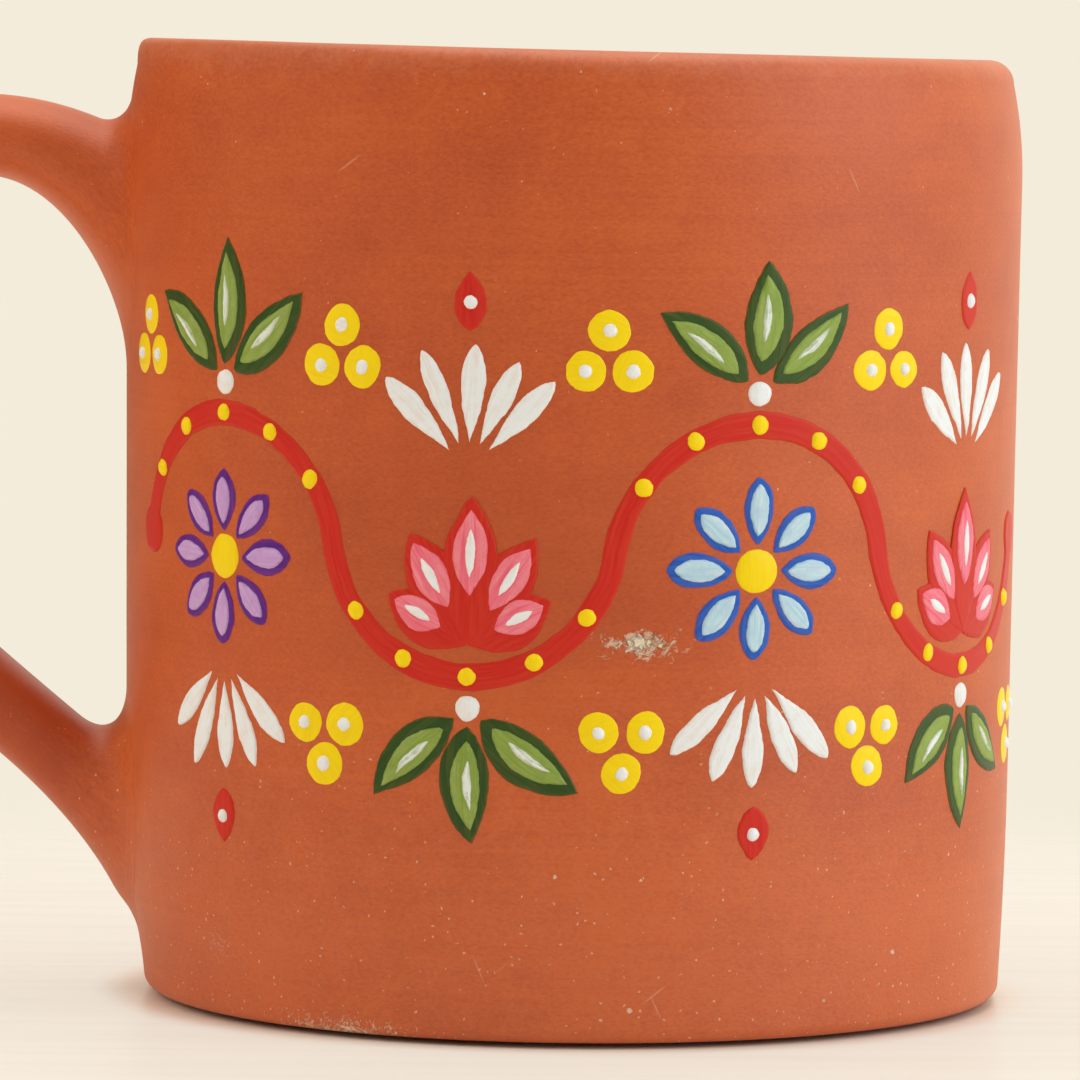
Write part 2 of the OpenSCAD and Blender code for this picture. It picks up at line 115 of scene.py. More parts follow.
class HandleSizes(bpy.types.PropertyGroup):
    """Sizes of the pulled handle and of its joints."""
    reach: length("Reach", 39, "How far the handle stands out from the belly")
    drop: length("Drop", 4.6, "Depth of the handle's top below the lip")
    bow_r: length("Bow radius", 21.5, "Radius of the bow on its middle line")
    arch_r: length("Arch radius", 30.5, "Radius of the arched upper arm on its top edge")
    lower_root_z: length("Lower root", 16, "Height at which the lower arm meets the wall")
    top_t: length("Top thickness", 7.6, "Thickness of the strap at the top of the bow")
    bow_t: length("Bow thickness", 6.8, "Thickness of the strap at the bottom of the bow")
    low_t: length("Low thickness", 7.4, "Thickness of the lower arm at the wall")
    top_w: length("Top width", 13, "Width of the strap at the top")
    bow_w: length("Bow width", 12, "Width of the strap at the bottom of the bow")
    low_w: length("Low width", 11.5, "Width of the lower arm at the wall")
    square: FloatProperty(name="Squareness", description="2 is an ellipse, and more is squarer", default=2.3)
    upper_over_reach: length("Upper root, top reach", 3, "Reach of the blend above the upper root")
    upper_over_spread: length("Upper root, top spread", 3.8, "Spread of the blend above the upper root")
    upper_under_reach: length("Upper root, low reach", 13, "Reach of the blend below the upper root")
    upper_under_spread: length("Upper root, low spread", 12.5, "Spread of the blend below the upper root")
    lower_over_reach: length("Lower root, top reach", 4.5, "Reach of the blend above the lower root")
    lower_over_spread: length("Lower root, top spread", 7, "Spread of the blend above the lower root")
    lower_under_reach: length("Lower root, low reach", 11, "Reach of the blend below the lower root")
    lower_under_spread: length("Lower root, low spread", 6.4, "Spread of the blend below the lower root")
    side_reach: length("Side reach", 7, "Reach of the blends at the sides of both roots")
    side_spread: length("Side spread", 4.5, "Spread of the blends at the sides of both roots")
    slip_t: length("Slip", 0.5, "Thickness of the slip between the wall and the handle")
    unevenness: length("Unevenness", 0.16, "How far the pulled strap strays from its smooth form")


class PaintSizes(bpy.types.PropertyGroup):
    """Sizes and places of the painted vine."""
    coat_t: length("Coat", 0.13, "Thickness of one coat of paint")
    drop_t: length("Drop", 0.3, "Height of a dot of paint")
    feather: length("Feather", 0.28, "Width over which a coat thins to its edge")
    hand: length("Hand", 0.3, "How far a brushed edge strays from its true line")
    hand_run: length("Hand run", 2.2, "Length of one swerve of a brushed edge")
    vine_z: length("Vine height", 43, "Height of the vine's middle line")
    vine_step: angle("Vine step", 36, "Angle round the cup that one half wave takes")
    vine_rise: length("Vine rise", 11, "Rise of each wave from the middle line")
    vine_w: length("Vine width", 2.2, "Width of the vine")
    vine_dot_d: length("Vine dot", 1.6, "Diameter of the dots along the vine")
    vine_dots: count("Vine dots", 5, "Dots on each half wave")
    waves: count("Half waves", 4, "Half waves of the vine")
    leaf_len: length("Leaf length", 10.5, "Length of a leaf")
    leaf_w: length("Leaf width", 4.4, "Width of a leaf")
    leaf_spread: angle("Leaf spread", 50, "Angle between the leaves of a spray")
    leaf_bend: length("Leaf bend", 0.45, "How far a leaf bows to one side")
    leaf_dot_d: length("Spray dot", 2.2, "Diameter of the dot at the root of each spray")
    daisy_d: length("Daisy", 16, "Diameter of a daisy")
    daisy_petals: count("Daisy petals", 8, "Petals of a daisy")
    daisy_petal_w: length("Daisy petal width", 3.1, "Width of a daisy petal")
    daisy_eye_d: length("Daisy eye", 4, "Diameter of the eye of a daisy")
    lotus_h: length("Lotus height", 12.5, "Height of a lotus")
    lotus_petal_w: length("Lotus petal width", 5, "Width of a lotus petal")
    lotus_spread: angle("Lotus spread", 31, "Angle between the petals of a lotus")
    lotus_gap: length("Lotus gap", 1.8, "Bare clay between the vine and the foot of a lotus")
    berry_d: length("Berry", 3.6, "Diameter of a berry")
    berry_dot_d: length("Berry dot", 1.2, "Diameter of the dot on a berry and on a bud")
    berry_turn: FloatProperty(name="Berry place", description="As a share of a half wave", default=0.53)
    stroke_len: length("Stroke length", 8, "Length of a comma stroke")
    stroke_w: length("Stroke width", 2.1, "Width of a comma stroke")
    strokes: count("Strokes", 5, "Strokes in each fan")
    fan_gap: length("Fan gap", 2.5, "Distance of the strokes from the point that they spread from")
    fan_spread: angle("Fan spread", 22, "Angle between the strokes of a fan")
    bud_len: length("Bud length", 5, "Length of a bud")
    bud_w: length("Bud width", 3, "Width of a bud")
    bud_gap: length("Bud gap", 1.5, "Distance from a fan to its bud")
    gap: length("Bare gap", 0.5, "Bare clay left between two motifs")
    root_gap: length("Root gap", 0.6, "Bare clay left between the handle's root and the first berries")
    inner_share: FloatProperty(name="Inner length", description="Share of a petal's length", default=0.76)
    inner_slim: FloatProperty(name="Inner width", description="Share of a petal's width", default=0.6)
    light_share: FloatProperty(name="Highlight length", description="Share of a petal's length", default=0.42)
    light_slim: FloatProperty(name="Highlight width", description="Share of a petal's width", default=0.17)


class Colours(bpy.types.PropertyGroup):
    """Colours of the clay, the paints and the stage."""
    clay_deep: colour("Deep clay", "#b94b1a", "Clay where the fire left it darkest")
    clay_pale: colour("Pale clay", "#d26326", "Clay where it is palest")
    grit: colour("Grit", "#eacbb2", "Pale grains in the clay, and hair scratches")
    pit: colour("Pit", "#6e2c16", "Small pits in the clay")
    crust: colour("Crust", "#cfae7a", "Core of the dry scuff on the wall")
    # Dry dust on the foot and in the scuff; on the rim this colour is dust and painted highlight together
    dust_and_rim_highlight: colour("Dust", "#f0e4cd", "Dry dust on the foot and the rim, and strands of the scuff")
    red: colour("Red", "#c62016", "Vine, lotuses and buds")
    red_light: colour("Light red", "#d23a28", "Brush streaks in the red")
    yellow: colour("Yellow", "#f6da00", "Berries, eyes and dots")
    yellow_deep: colour("Deep yellow", "#f0c800", "Brush streaks in the yellow")
    green: colour("Dark green", "#2c4a1c", "Borders of the leaves")
    green_light: colour("Green", "#3f5f28", "Brush streaks in the dark green")
    lime: colour("Lime", "#7f9a3c", "Middles of the leaves")
    lime_light: colour("Light lime", "#a3b566", "Brush streaks in the lime")
    white: colour("White", "#e8eff5", "Strokes, dots and highlights")
    white_thin: colour("Thin white", "#e3d2c6", "White so thin that the clay warms it")
    violet: colour("Violet", "#561882", "Borders of the violet daisy")
    violet_light: colour("Light violet", "#6d379c", "Brush streaks in the violet")
    lilac: colour("Lilac", "#be94d2", "Petals of the violet daisy")
    lilac_light: colour("Light lilac", "#d6b8e2", "Brush streaks in the lilac")
    blue: colour("Blue", "#1b53b4", "Borders of the blue daisy")
    blue_light: colour("Light blue", "#3572cc", "Brush streaks in the blue")
    sky: colour("Sky", "#a8d0e4", "Petals of the blue daisy")
    sky_light: colour("Light sky", "#dcecf2", "Brush streaks in the sky blue")
    pink: colour("Pink", "#e8607a", "Petals of the lotuses")
    pink_light: colour("Light pink", "#f3a0ae", "Brush streaks in the pink")
    table: colour("Table", "#f3ece0", "White table top")
    table_streak: colour("Table streak", "#e4d9c8", "Brush marks in the lacquer of the table")
    backdrop: colour("Backdrop", "#f4ecda", "Cream wall behind the table")


# Nodes

def add_node(tree, kind, *inputs, at=None, **settings):
    """Adds a node with its settings. Inputs go to its sockets in order, or by name or number in at."""
    node = tree.nodes.new(kind)
    for name, value in settings.items():
        setattr(node, name, value)
    for key, value in [*enumerate(inputs), *(at or {}).items()]:
        if isinstance(value, bpy.types.Node):
            value = value.outputs[0]
        if isinstance(value, bpy.types.NodeSocket):
            tree.links.new(value, node.inputs[key])
        elif value is not None:
            node.inputs[key].default_value = value
    return node


def new_tree(name, inputs):
    """A Geometry Nodes tree with named inputs, its function that adds nodes, and its input node."""
    tree = bpy.data.node_groups.new(name, "GeometryNodeTree")
    tree.interface.new_socket("Geometry", in_out="INPUT", socket_type="NodeSocketGeometry")
    tree.interface.new_socket("Geometry", in_out="OUTPUT", socket_type="NodeSocketGeometry")
    for socket, kind in inputs.items():
        tree.interface.new_socket(socket, in_out="INPUT", socket_type="NodeSocket" + kind)
    add = partial(add_node, tree)
    return tree, add, add("NodeGroupInput").outputs


def settle(piece, tree, values):
    """Runs a tree on a piece and keeps the result as the piece's plain mesh."""
    modifier = piece.modifiers.new(tree.name, "NODES")
    modifier.node_group = tree
    sockets = {s.name: s.identifier for s in tree.interface.items_tree if s.in_out == "INPUT"}
    for name, value in values.items():
        modifier[sockets[name]] = value
    depsgraph = bpy.context.evaluated_depsgraph_get()
    shaped = piece.evaluated_get(depsgraph)
    mesh = bpy.data.meshes.new_from_object(shaped, preserve_all_data_layers=True, depsgraph=depsgraph)
    piece.modifiers.remove(modifier)
    old, piece.data = piece.data, mesh
    bpy.data.meshes.remove(old)
    mesh.name = piece.name
    if not mesh.polygons:
        raise RuntimeError(f"{piece.name} came out empty")


# Pieces

def new_piece(name, mesh):
    piece = bpy.data.objects.new(name, mesh)
    bpy.context.scene.collection.objects.link(piece)
    return piece


def new_mesh(name, points, faces):
    mesh = bpy.data.meshes.new(name)
    mesh.from_pydata([tuple(p) for p in points], [], faces)
    mesh.shade_smooth()
    return mesh


def keep_values(mesh, name, values, kind="FLOAT"):
    """Keeps one value for each point of a mesh under a name."""
    field = "vector" if kind == "FLOAT_VECTOR" else "value"
    flat = np.asarray(values, np.float32).ravel()
    mesh.attributes.new(name, kind, "POINT").data.foreach_set(field, flat)


def points_of(mesh):
    flat = np.zeros(len(mesh.vertices) * 3, np.float32)
    mesh.vertices.foreach_get("co", flat)
    return flat.reshape(-1, 3).astype(float)


def stand_for(piece, node):
    """Puts a finished piece on the mug in the place of its solid."""
    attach(piece, "root")
    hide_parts(node)


# Form of the cup

def arc_side(upright_r, height, inward, away):
    """Radius on an arc that is upright at one height and moves in by an amount over another."""
    r = (height ** 2 + inward ** 2) / (2 * inward)
    return upright_r - r + np.sqrt(r ** 2 - away ** 2)


def wall_radius(cup, z):
    """Radius of the outside of the wall at heights z."""
    z = np.asarray(z, float)
    belly, shoulder_z = cup.belly_d / 2, cup.height - cup.lip_h
    rim_z = cup.height - cup.wall_t / 2
    heel = arc_side(belly, cup.belly_z - cup.foot_round, belly - cup.foot_d / 2,
                    np.clip(cup.belly_z - z, 0, cup.belly_z))
    lip = arc_side(cup.shoulder_d / 2, rim_z - shoulder_z, cup.lip_lean,
                   np.clip(z - shoulder_z, 0, cup.lip_h))
    wall = np.interp(z, [cup.belly_z, shoulder_z], [belly, cup.shoulder_d / 2])
    return np.where(z < cup.belly_z, heel, np.where(z < shoulder_z, wall, lip))


def line(start, end, steps):
    """Points from start to end, without the end."""
    return [tuple(np.add(start, np.subtract(end, start) * i / steps)) for i in range(steps)]


def arc(centre, r, start, end, steps):
    """Points on an arc between two angles in degrees, without the last one."""
    turns = np.radians(np.linspace(start, end, steps, endpoint=False))
    return [(centre[0] + r * math.cos(a), centre[1] + r * math.sin(a)) for a in turns]


def cup_profile(cup):
    """Half section (r, z) from the middle of the foot, up the outside, over the rim and down to the floor."""
    foot, rim = cup.foot_d / 2 - cup.foot_round, cup.wall_t / 2
    rim_z, shoulder_z = cup.height - rim, cup.height - cup.lip_h
    rim_mid = cup.shoulder_d / 2 - cup.lip_lean - rim
    heel, inner = cup.belly_d / 2 - cup.heel_t, cup.inside_round
    flat, slope, lift = foot - 2 * cup.foot_bevel, foot - cup.foot_bevel, cup.foot_lift
    inside = [(rim_mid - rim, rim_z), (cup.shoulder_d / 2 - cup.wall_t, shoulder_z),
              (heel, cup.floor_t + inner)]
    heights = np.linspace(cup.foot_round, rim_z, num=150, endpoint=False)
    edge = [(r, lift + z * (1 - lift / cup.foot_round))
            for r, z in arc((foot, cup.foot_round), cup.foot_round, -90, 0, steps=12)]
    return (
        line((0, 0), (flat, 0), steps=14)
        + line((flat, 0), (slope, lift), steps=3)
        + line((slope, lift), (foot, lift), steps=3)
        + edge
        + list(zip(wall_radius(cup, heights), heights))
        + arc((rim_mid, rim_z), rim, 0, 180, steps=20)
        + line(inside[0], inside[1], steps=6)
        + line(inside[1], inside[2], steps=48)
        + arc((heel - inner, cup.floor_t + inner), inner, 0, -90, steps=12)
        + line((heel - inner, cup.floor_t), (0, cup.floor_t), steps=12)
        + [(0, cup.floor_t)]
    )


def ramp(values, start, end):
    """Smooth rise from 0 at the start to 1 at the end."""
    t = np.clip((np.asarray(values) - start) / (end - start), 0, 1)
    return t * t * (3 - 2 * t)


def pressed(cup, points):
    """Points low on the handle's side, pushed in as by the hand that set the handle. The inside stays."""
    points = np.array(points, float)
    r = np.maximum(np.hypot(points[..., 0], points[..., 1]), MM)
    deep = np.clip(1 - points[..., 2] / cup.press_h, 0, 1)
    side = np.clip(-points[..., 0] / r, 0, 1) ** 2
    # The push is full at the wall and fades out towards the axis and along the handle
    inner, wall_in, wall_out, outer = [share * cup.foot_d / 2 for share in (0.75, 0.95, 1.04, 1.25)]
    near = ramp(r, inner, wall_in) * ramp(r, outer, wall_out)
    soft_start = 0.25
    push = cup.foot_press * np.sin(deep * math.pi / 2) * ramp(deep, 0, soft_start) * side * near
    points[..., :2] *= (1 - push / r)[..., None]
    return points


def thrown_tree():
    """Turns a half section round the axis, as on the wheel, and lets the wall and the rim stray a little."""
    tree, add, given = new_tree("Thrown wall", {
        "Facets around": "Int", "Height": "Float", "Rim radius": "Float", "Rim round": "Float",
        "Rim tilt": "Float", "Rim corner": "Float", "Unevenness": "Float", "Finger rings": "Float",
        "Finger pitch": "Float", "Clay": "Material"})
    stray_run, ring_starts, ring_ends = 30 * MM, (8 * MM, 20 * MM), (80 * MM, 70 * MM)
    corner_power, tilt_power = 2.0, 4.0
    section = given["Geometry"]
    rows = add("GeometryNodeAttributeDomainSize", section, component="MESH").outputs["Point Count"]
    columns = add(MATH, given["Facets around"], 1.0, operation="ADD")
    grid = add("GeometryNodeMeshGrid", 1.0, 1.0, columns, rows)
    index = add("GeometryNodeInputIndex")
    row = add(MATH, index, rows, operation="MODULO")
    column = add(MATH, add(MATH, index, rows, operation="DIVIDE"), operation="FLOOR")
    turn = add(MATH, column, 2 * math.pi, operation="MULTIPLY")
    turn = add(MATH, turn, given["Facets around"], operation="DIVIDE")
    place = add("GeometryNodeInputPosition")
    spot = add("GeometryNodeSampleIndex", section, place, row, data_type="FLOAT_VECTOR", domain="POINT")
    spot = add("ShaderNodeVectorRotate", spot, at={"Angle": turn}, rotation_type="Z_AXIS")
    turned = add("GeometryNodeSetPosition", grid, at={"Position": spot})
    closed = add("GeometryNodeMergeByDistance", turned, at={"Distance": 1e-7})
    # Strays in and out, with finger rings on the inside
    parts = add("ShaderNodeSeparateXYZ", place).outputs
    flat = add(VECTOR, place, (1, 1, 0), operation="MULTIPLY")
    outward = add(VECTOR, flat, operation="NORMALIZE")
    radius = add(VECTOR, flat, operation="LENGTH").outputs["Value"]
    noise = add(NOISE, place, at={"Scale": 1 / stray_run, "Detail": 2.0}).outputs["Color"]
    noise = add(VECTOR, noise, (0.5, 0.5, 0.5), operation="SUBTRACT")
    noise = add(VECTOR, noise, at={"Scale": given["Unevenness"]}, operation="SCALE")
    stray = add("ShaderNodeSeparateXYZ", noise).outputs
    ring = add(MATH, parts["Z"], given["Finger pitch"], operation="DIVIDE")
    ring = add(MATH, ring, 2 * math.pi, operation="MULTIPLY")
    ring = add(MATH, ring, operation="SINE")
    inside = add(MATH, radius, given["Rim radius"], operation="LESS_THAN")
    low, top = [add(RANGE, parts["Z"], *zone) for zone in (ring_starts, ring_ends)]
    for share in (given["Finger rings"], inside, low, top):
        ring = add(MATH, ring, share, operation="MULTIPLY")
    out_by = add(MATH, stray["X"], ring, operation="ADD")
    # Squares the outer corner of the rim on the handle's side
    side = add(MATH, parts["X"], radius, operation="DIVIDE")
    side = add(MATH, side, -1.0, operation="MULTIPLY", use_clamp=True)
    past = add(MATH, radius, given["Rim radius"], operation="SUBTRACT")
    past = add(MATH, past, given["Rim round"], operation="DIVIDE", use_clamp=True)
    above = add(MATH, parts["Z"], given["Height"], operation="SUBTRACT")
    above = add(MATH, above, given["Rim round"], operation="DIVIDE")
    above = add(MATH, above, 1.0, operation="ADD", use_clamp=True)
    above = add(MATH, above, corner_power, operation="POWER")
    corner = past
    for share in (above, side, given["Rim corner"]):
        corner = add(MATH, corner, share, operation="MULTIPLY")
    out_by = add(MATH, out_by, corner, operation="ADD")
    aside = add(VECTOR, outward, at={"Scale": out_by}, operation="SCALE")
    # Lifts the rim on the handle's side, and lets its height stray
    share = add(MATH, parts["Z"], given["Height"], operation="DIVIDE")
    share = add(MATH, share, tilt_power, operation="POWER")
    lean = add(MATH, parts["X"], given["Rim radius"], operation="DIVIDE")
    lift = add(MATH, lean, given["Rim tilt"], operation="MULTIPLY")
    lift = add(MATH, stray["Y"], lift, operation="SUBTRACT")
    lift = add(MATH, lift, share, corner, operation="MULTIPLY_ADD")
    lift = add("ShaderNodeCombineXYZ", at={"Z": lift})
    move = add(VECTOR, aside, lift, operation="ADD")
    uneven = add("GeometryNodeSetPosition", closed, at={"Offset": move})
    smooth = add("GeometryNodeSetShadeSmooth", uneven, at={"Shade Smooth": True})
    whole = add("GeometryNodeRealizeInstances", smooth)
    add("NodeGroupOutput", add("GeometryNodeSetMaterial", whole, at={"Material": given["Clay"]}))
    return tree


class MUG_OT_throw_cup(bpy.types.Operator):
    """Throws the cup: floor, wall and rounded rim in one"""
    bl_idname = "mug.throw_cup"
    bl_label = "Throw the cup"

    def execute(self, context):
        cup = context.scene.mug_cup
        profile = cup_profile(cup)
        mesh = bpy.data.meshes.new("thrown_cup")
        edges = [(i, i + 1) for i in range(len(profile) - 1)]
        mesh.from_pydata([(r, 0, z) for r, z in profile], edges, [])
        piece = new_piece("thrown_cup", mesh)
        settle(piece, thrown_tree(), {
            "Facets around": cup.around, "Height": cup.height,
            "Rim radius": cup.shoulder_d / 2 - cup.lip_lean - cup.wall_t / 2, "Rim round": cup.wall_t / 2,
            "Rim tilt": cup.rim_tilt, "Rim corner": cup.rim_corner, "Unevenness": cup.unevenness,
            "Finger rings": cup.finger_ring, "Finger pitch": cup.finger_pitch,
            "Clay": turned_terracotta(context.scene.mug_colours)})
        at = pressed(cup, points_of(piece.data))
        piece.data.vertices.foreach_set("co", at.astype(np.float32).ravel())
        # The rib's lines run round the cup: at one height on the wall, and at one radius on the floor
        keep_values(piece.data, "rib", (at[:, 2] + np.hypot(at[:, 0], at[:, 1])) / MM)
        stand_for(piece, "cup_body")
        return {"FINISHED"}


# Form of the handle

def root_blend(d, reach, spread):
    """Extra breadth of an arm at a distance from the wall, as a quarter of an ellipse."""
    near = (reach - max(d, 0)) / reach
    return spread * (1 - math.sqrt(1 - near ** 2)) if near > 0 else 0.0


def arc_drop(r, aside):
    """Depth of an arc below its top, at a distance aside from it."""
    return r - math.sqrt(r ** 2 - aside ** 2)


class Strap:
    """The pulled strap. A station is (outer edge, inner edge, half width, distance from the wall)."""

    def __init__(self, cup, handle):
        self.cup, self.h = cup, handle
        self.belly = cup.belly_d / 2
        self.top_z = cup.height - handle.drop
        self.bow = np.array([-self.belly - handle.reach + handle.bow_r + handle.bow_t / 2,
                             self.top_z - handle.top_t / 2 - handle.bow_r])
        self.upper_arm = -self.belly - self.bow[0]
        rise = self.bow[1] - handle.lower_root_z
        slope = math.atan2(rise, self.upper_arm)
        self.low_turn = slope - math.asin(handle.bow_r / math.hypot(self.upper_arm, rise))
        blends = handle.lower_under_reach, handle.lower_over_reach, handle.side_reach
        self.lower_arm = max(blends) + handle.slip_t
        self.bow_last = self.bow_station(1)

    def upper_station(self, d):
        h, aside = self.h, self.upper_arm - max(d, 0)
        over = root_blend(d, h.upper_over_reach, h.upper_over_spread)
        under = root_blend(d, h.upper_under_reach, h.upper_under_spread)
        outer = self.top_z - arc_drop(h.arch_r, aside) + over
        inner = self.top_z - h.top_t - arc_drop(h.arch_r - h.top_t, aside) - under
        x = -self.belly - d
        return (x, outer), (x, inner), h.top_w / 2 + root_blend(d, h.side_reach, h.side_spread), d

    def bow_station(self, t):
        h = self.h
        turn = math.radians(90) + t * (math.radians(180) - self.low_turn)
        half = (h.top_t + (h.bow_t - h.top_t) * t) / 2
        way = np.array([math.cos(turn), math.sin(turn)])
        return (self.bow + way * (h.bow_r + half), self.bow + way * (h.bow_r - half),
                (h.top_w + (h.bow_w - h.top_w) * t) / 2, None)

    def lower_station(self, d):
        h = self.h
        half = h.low_t / 2 / math.cos(self.low_turn)

        def edge(start, end_z):
            return end_z + (start[1] - end_z) * max(d, 0) / (-self.belly - start[0])

        under = root_blend(d, h.lower_under_reach, h.lower_under_spread)
        over = root_blend(d, h.lower_over_reach, h.lower_over_spread)
        outer = edge(self.bow_last[0], h.lower_root_z - half) - under
        inner = edge(self.bow_last[1], h.lower_root_z + half) + over
        x = -self.belly - d
        width = h.low_w + (h.bow_w - h.low_w) * max(d, 0) / (-self.belly - self.bow_last[0][0])
        return (x, outer), (x, inner), width / 2 + root_blend(d, h.side_reach, h.side_spread), d

    def ring(self, station, points=72):
        """One ring of the strap, bent to stay at one distance from the round wall near a root."""
        outer, inner, half_w, d = station
        turns = np.linspace(0, 2 * math.pi, points, endpoint=False)

        def soft(v):
            return np.sign(v) * np.abs(v) ** (2 / self.h.square)

        middle, reach = np.add(outer, inner) / 2, np.subtract(outer, inner) / 2
        x = middle[0] + reach[0] * soft(np.cos(turns))
        z = middle[1] + reach[1] * soft(np.cos(turns))
        y = half_w * soft(np.sin(turns))
        if d is not None:
            hug = 1 - max(d, 0) / max(self.upper_arm, self.lower_arm)
            x = x * (1 - hug) - np.sqrt((wall_radius(self.cup, z) + d) ** 2 - y ** 2) * hug
        return np.stack([x, y, z], axis=1)

    def rings(self):
        """All rings from the upper root to the lower one."""
        root_steps, bow_steps, arm_steps, slip = 34, 72, 28, self.h.slip_t
        root = [(i / root_steps) ** 2 for i in range(root_steps)]
        back = [1.0, *root[::-1]]
        upper = [self.ring(self.upper_station(slip + (self.upper_arm - slip) * t)) for t in root]
        bow = [self.ring(self.bow_station(i / bow_steps)) for i in range(bow_steps + 1)]
        lower = [self.ring(self.lower_station(slip + (self.lower_arm - slip) * t)) for t in back]
        arm = [bow[-1] + (lower[0] - bow[-1]) * i / arm_steps for i in range(1, arm_steps)]
        return upper + ease(bow + arm) + lower


def ease(rings, passes=6):
    """Rings with the small corners along their path worn off. The first and last stay."""
    stack = np.array(rings)
    for _ in range(passes):
        stack[1:-1] = (stack[:-2] + 2 * stack[1:-1] + stack[2:]) / 4
    return list(stack)


def loft(name, rings):
    """A closed mesh through rings of points, with flat ends."""
    n, last = len(rings[0]), len(rings) - 1
    faces = [(r * n + i, r * n + (i + 1) % n, (r + 1) * n + (i + 1) % n, (r + 1) * n + i)
             for r in range(last) for i in range(n)]
    caps = [tuple(reversed(range(n))), tuple(last * n + i for i in range(n))]
    mesh = new_mesh(name, np.concatenate(rings), faces + caps)
    for cap in range(len(faces), len(faces) + len(caps)):
        mesh.polygons[cap].use_smooth = False
    # Lines that the pulling hand leaves run along the strap: place across it, in millimetres
    strap_width = 20
    turns = np.abs(np.linspace(0, 2, n, endpoint=False) - 1)
    keep_values(mesh, "rib", np.tile(turns * strap_width, len(rings)))
    return mesh


def uneven_strap(rings, amount):
    """Rings pushed in and out a little by slow waves along and across the strap."""
    n = len(rings[0])
    along = np.arange(len(rings))[:, None] / len(rings) * 2 * math.pi
    across = np.linspace(0, 2 * math.pi, n, endpoint=False)[None, :]
    wave = (np.sin(3 * along + 0.7) * np.cos(2 * across + 0.4) + 0.6 * np.sin(5 * along + across + 1.9)) / 1.6
    fade = np.sin(np.linspace(0, math.pi, len(rings)))[:, None] ** 0.5
    stack = np.array(rings)
    outward = stack - stack.mean(axis=1, keepdims=True)
    outward /= np.linalg.norm(outward, axis=2, keepdims=True)
    return list(stack + outward * (wave * fade * amount)[:, :, None])


class MUG_OT_pull_handle(bpy.types.Operator):
    """Pulls the strap of the handle, with roots that flow into the wall"""
    bl_idname = "mug.pull_handle"
    bl_label = "Pull the handle"

    def execute(self, context):
        scene = context.scene
        strap = Strap(scene.mug_cup, scene.mug_handle)
        rings = uneven_strap(strap.rings(), scene.mug_handle.unevenness)
        rings = list(pressed(scene.mug_cup, rings))
        piece = new_piece("pulled_handle", loft("pulled_handle", rings))
        piece.data.materials.append(turned_terracotta(scene.mug_colours))
        stand_for(piece, "handle")
        return {"FINISHED"}


class MUG_OT_spread_slip(bpy.types.Operator):
    """Spreads the two films of slip that join the handle to the wall"""
    bl_idname = "mug.spread_slip"
    bl_label = "Spread the slip"

    def execute(self, context):
        scene = context.scene
        strap = Strap(scene.mug_cup, scene.mug_handle)
        slip, depth, steps = scene.mug_handle.slip_t, 0.3 * MM, 10
        distances = [-depth] + [slip * (i / steps) ** 2 for i in range(steps + 1)]
        for name, station in [("upper_slip", strap.upper_station), ("lower_slip", strap.lower_station)]:
            rings = list(pressed(scene.mug_cup, [strap.ring(station(d)) for d in distances]))
            # The strap leaves the wall at its upper root and comes back to it at the lower one
            if name == "lower_slip":
                rings.reverse()
            piece = new_piece(name, loft(name, rings))
            piece.data.materials.append(turned_terracotta(scene.mug_colours))
            stand_for(piece, name + "_joint")
        return {"FINISHED"}


# Painted layout, on a flat sheet that is wrapped round the wall: x runs round the cup and y is the height

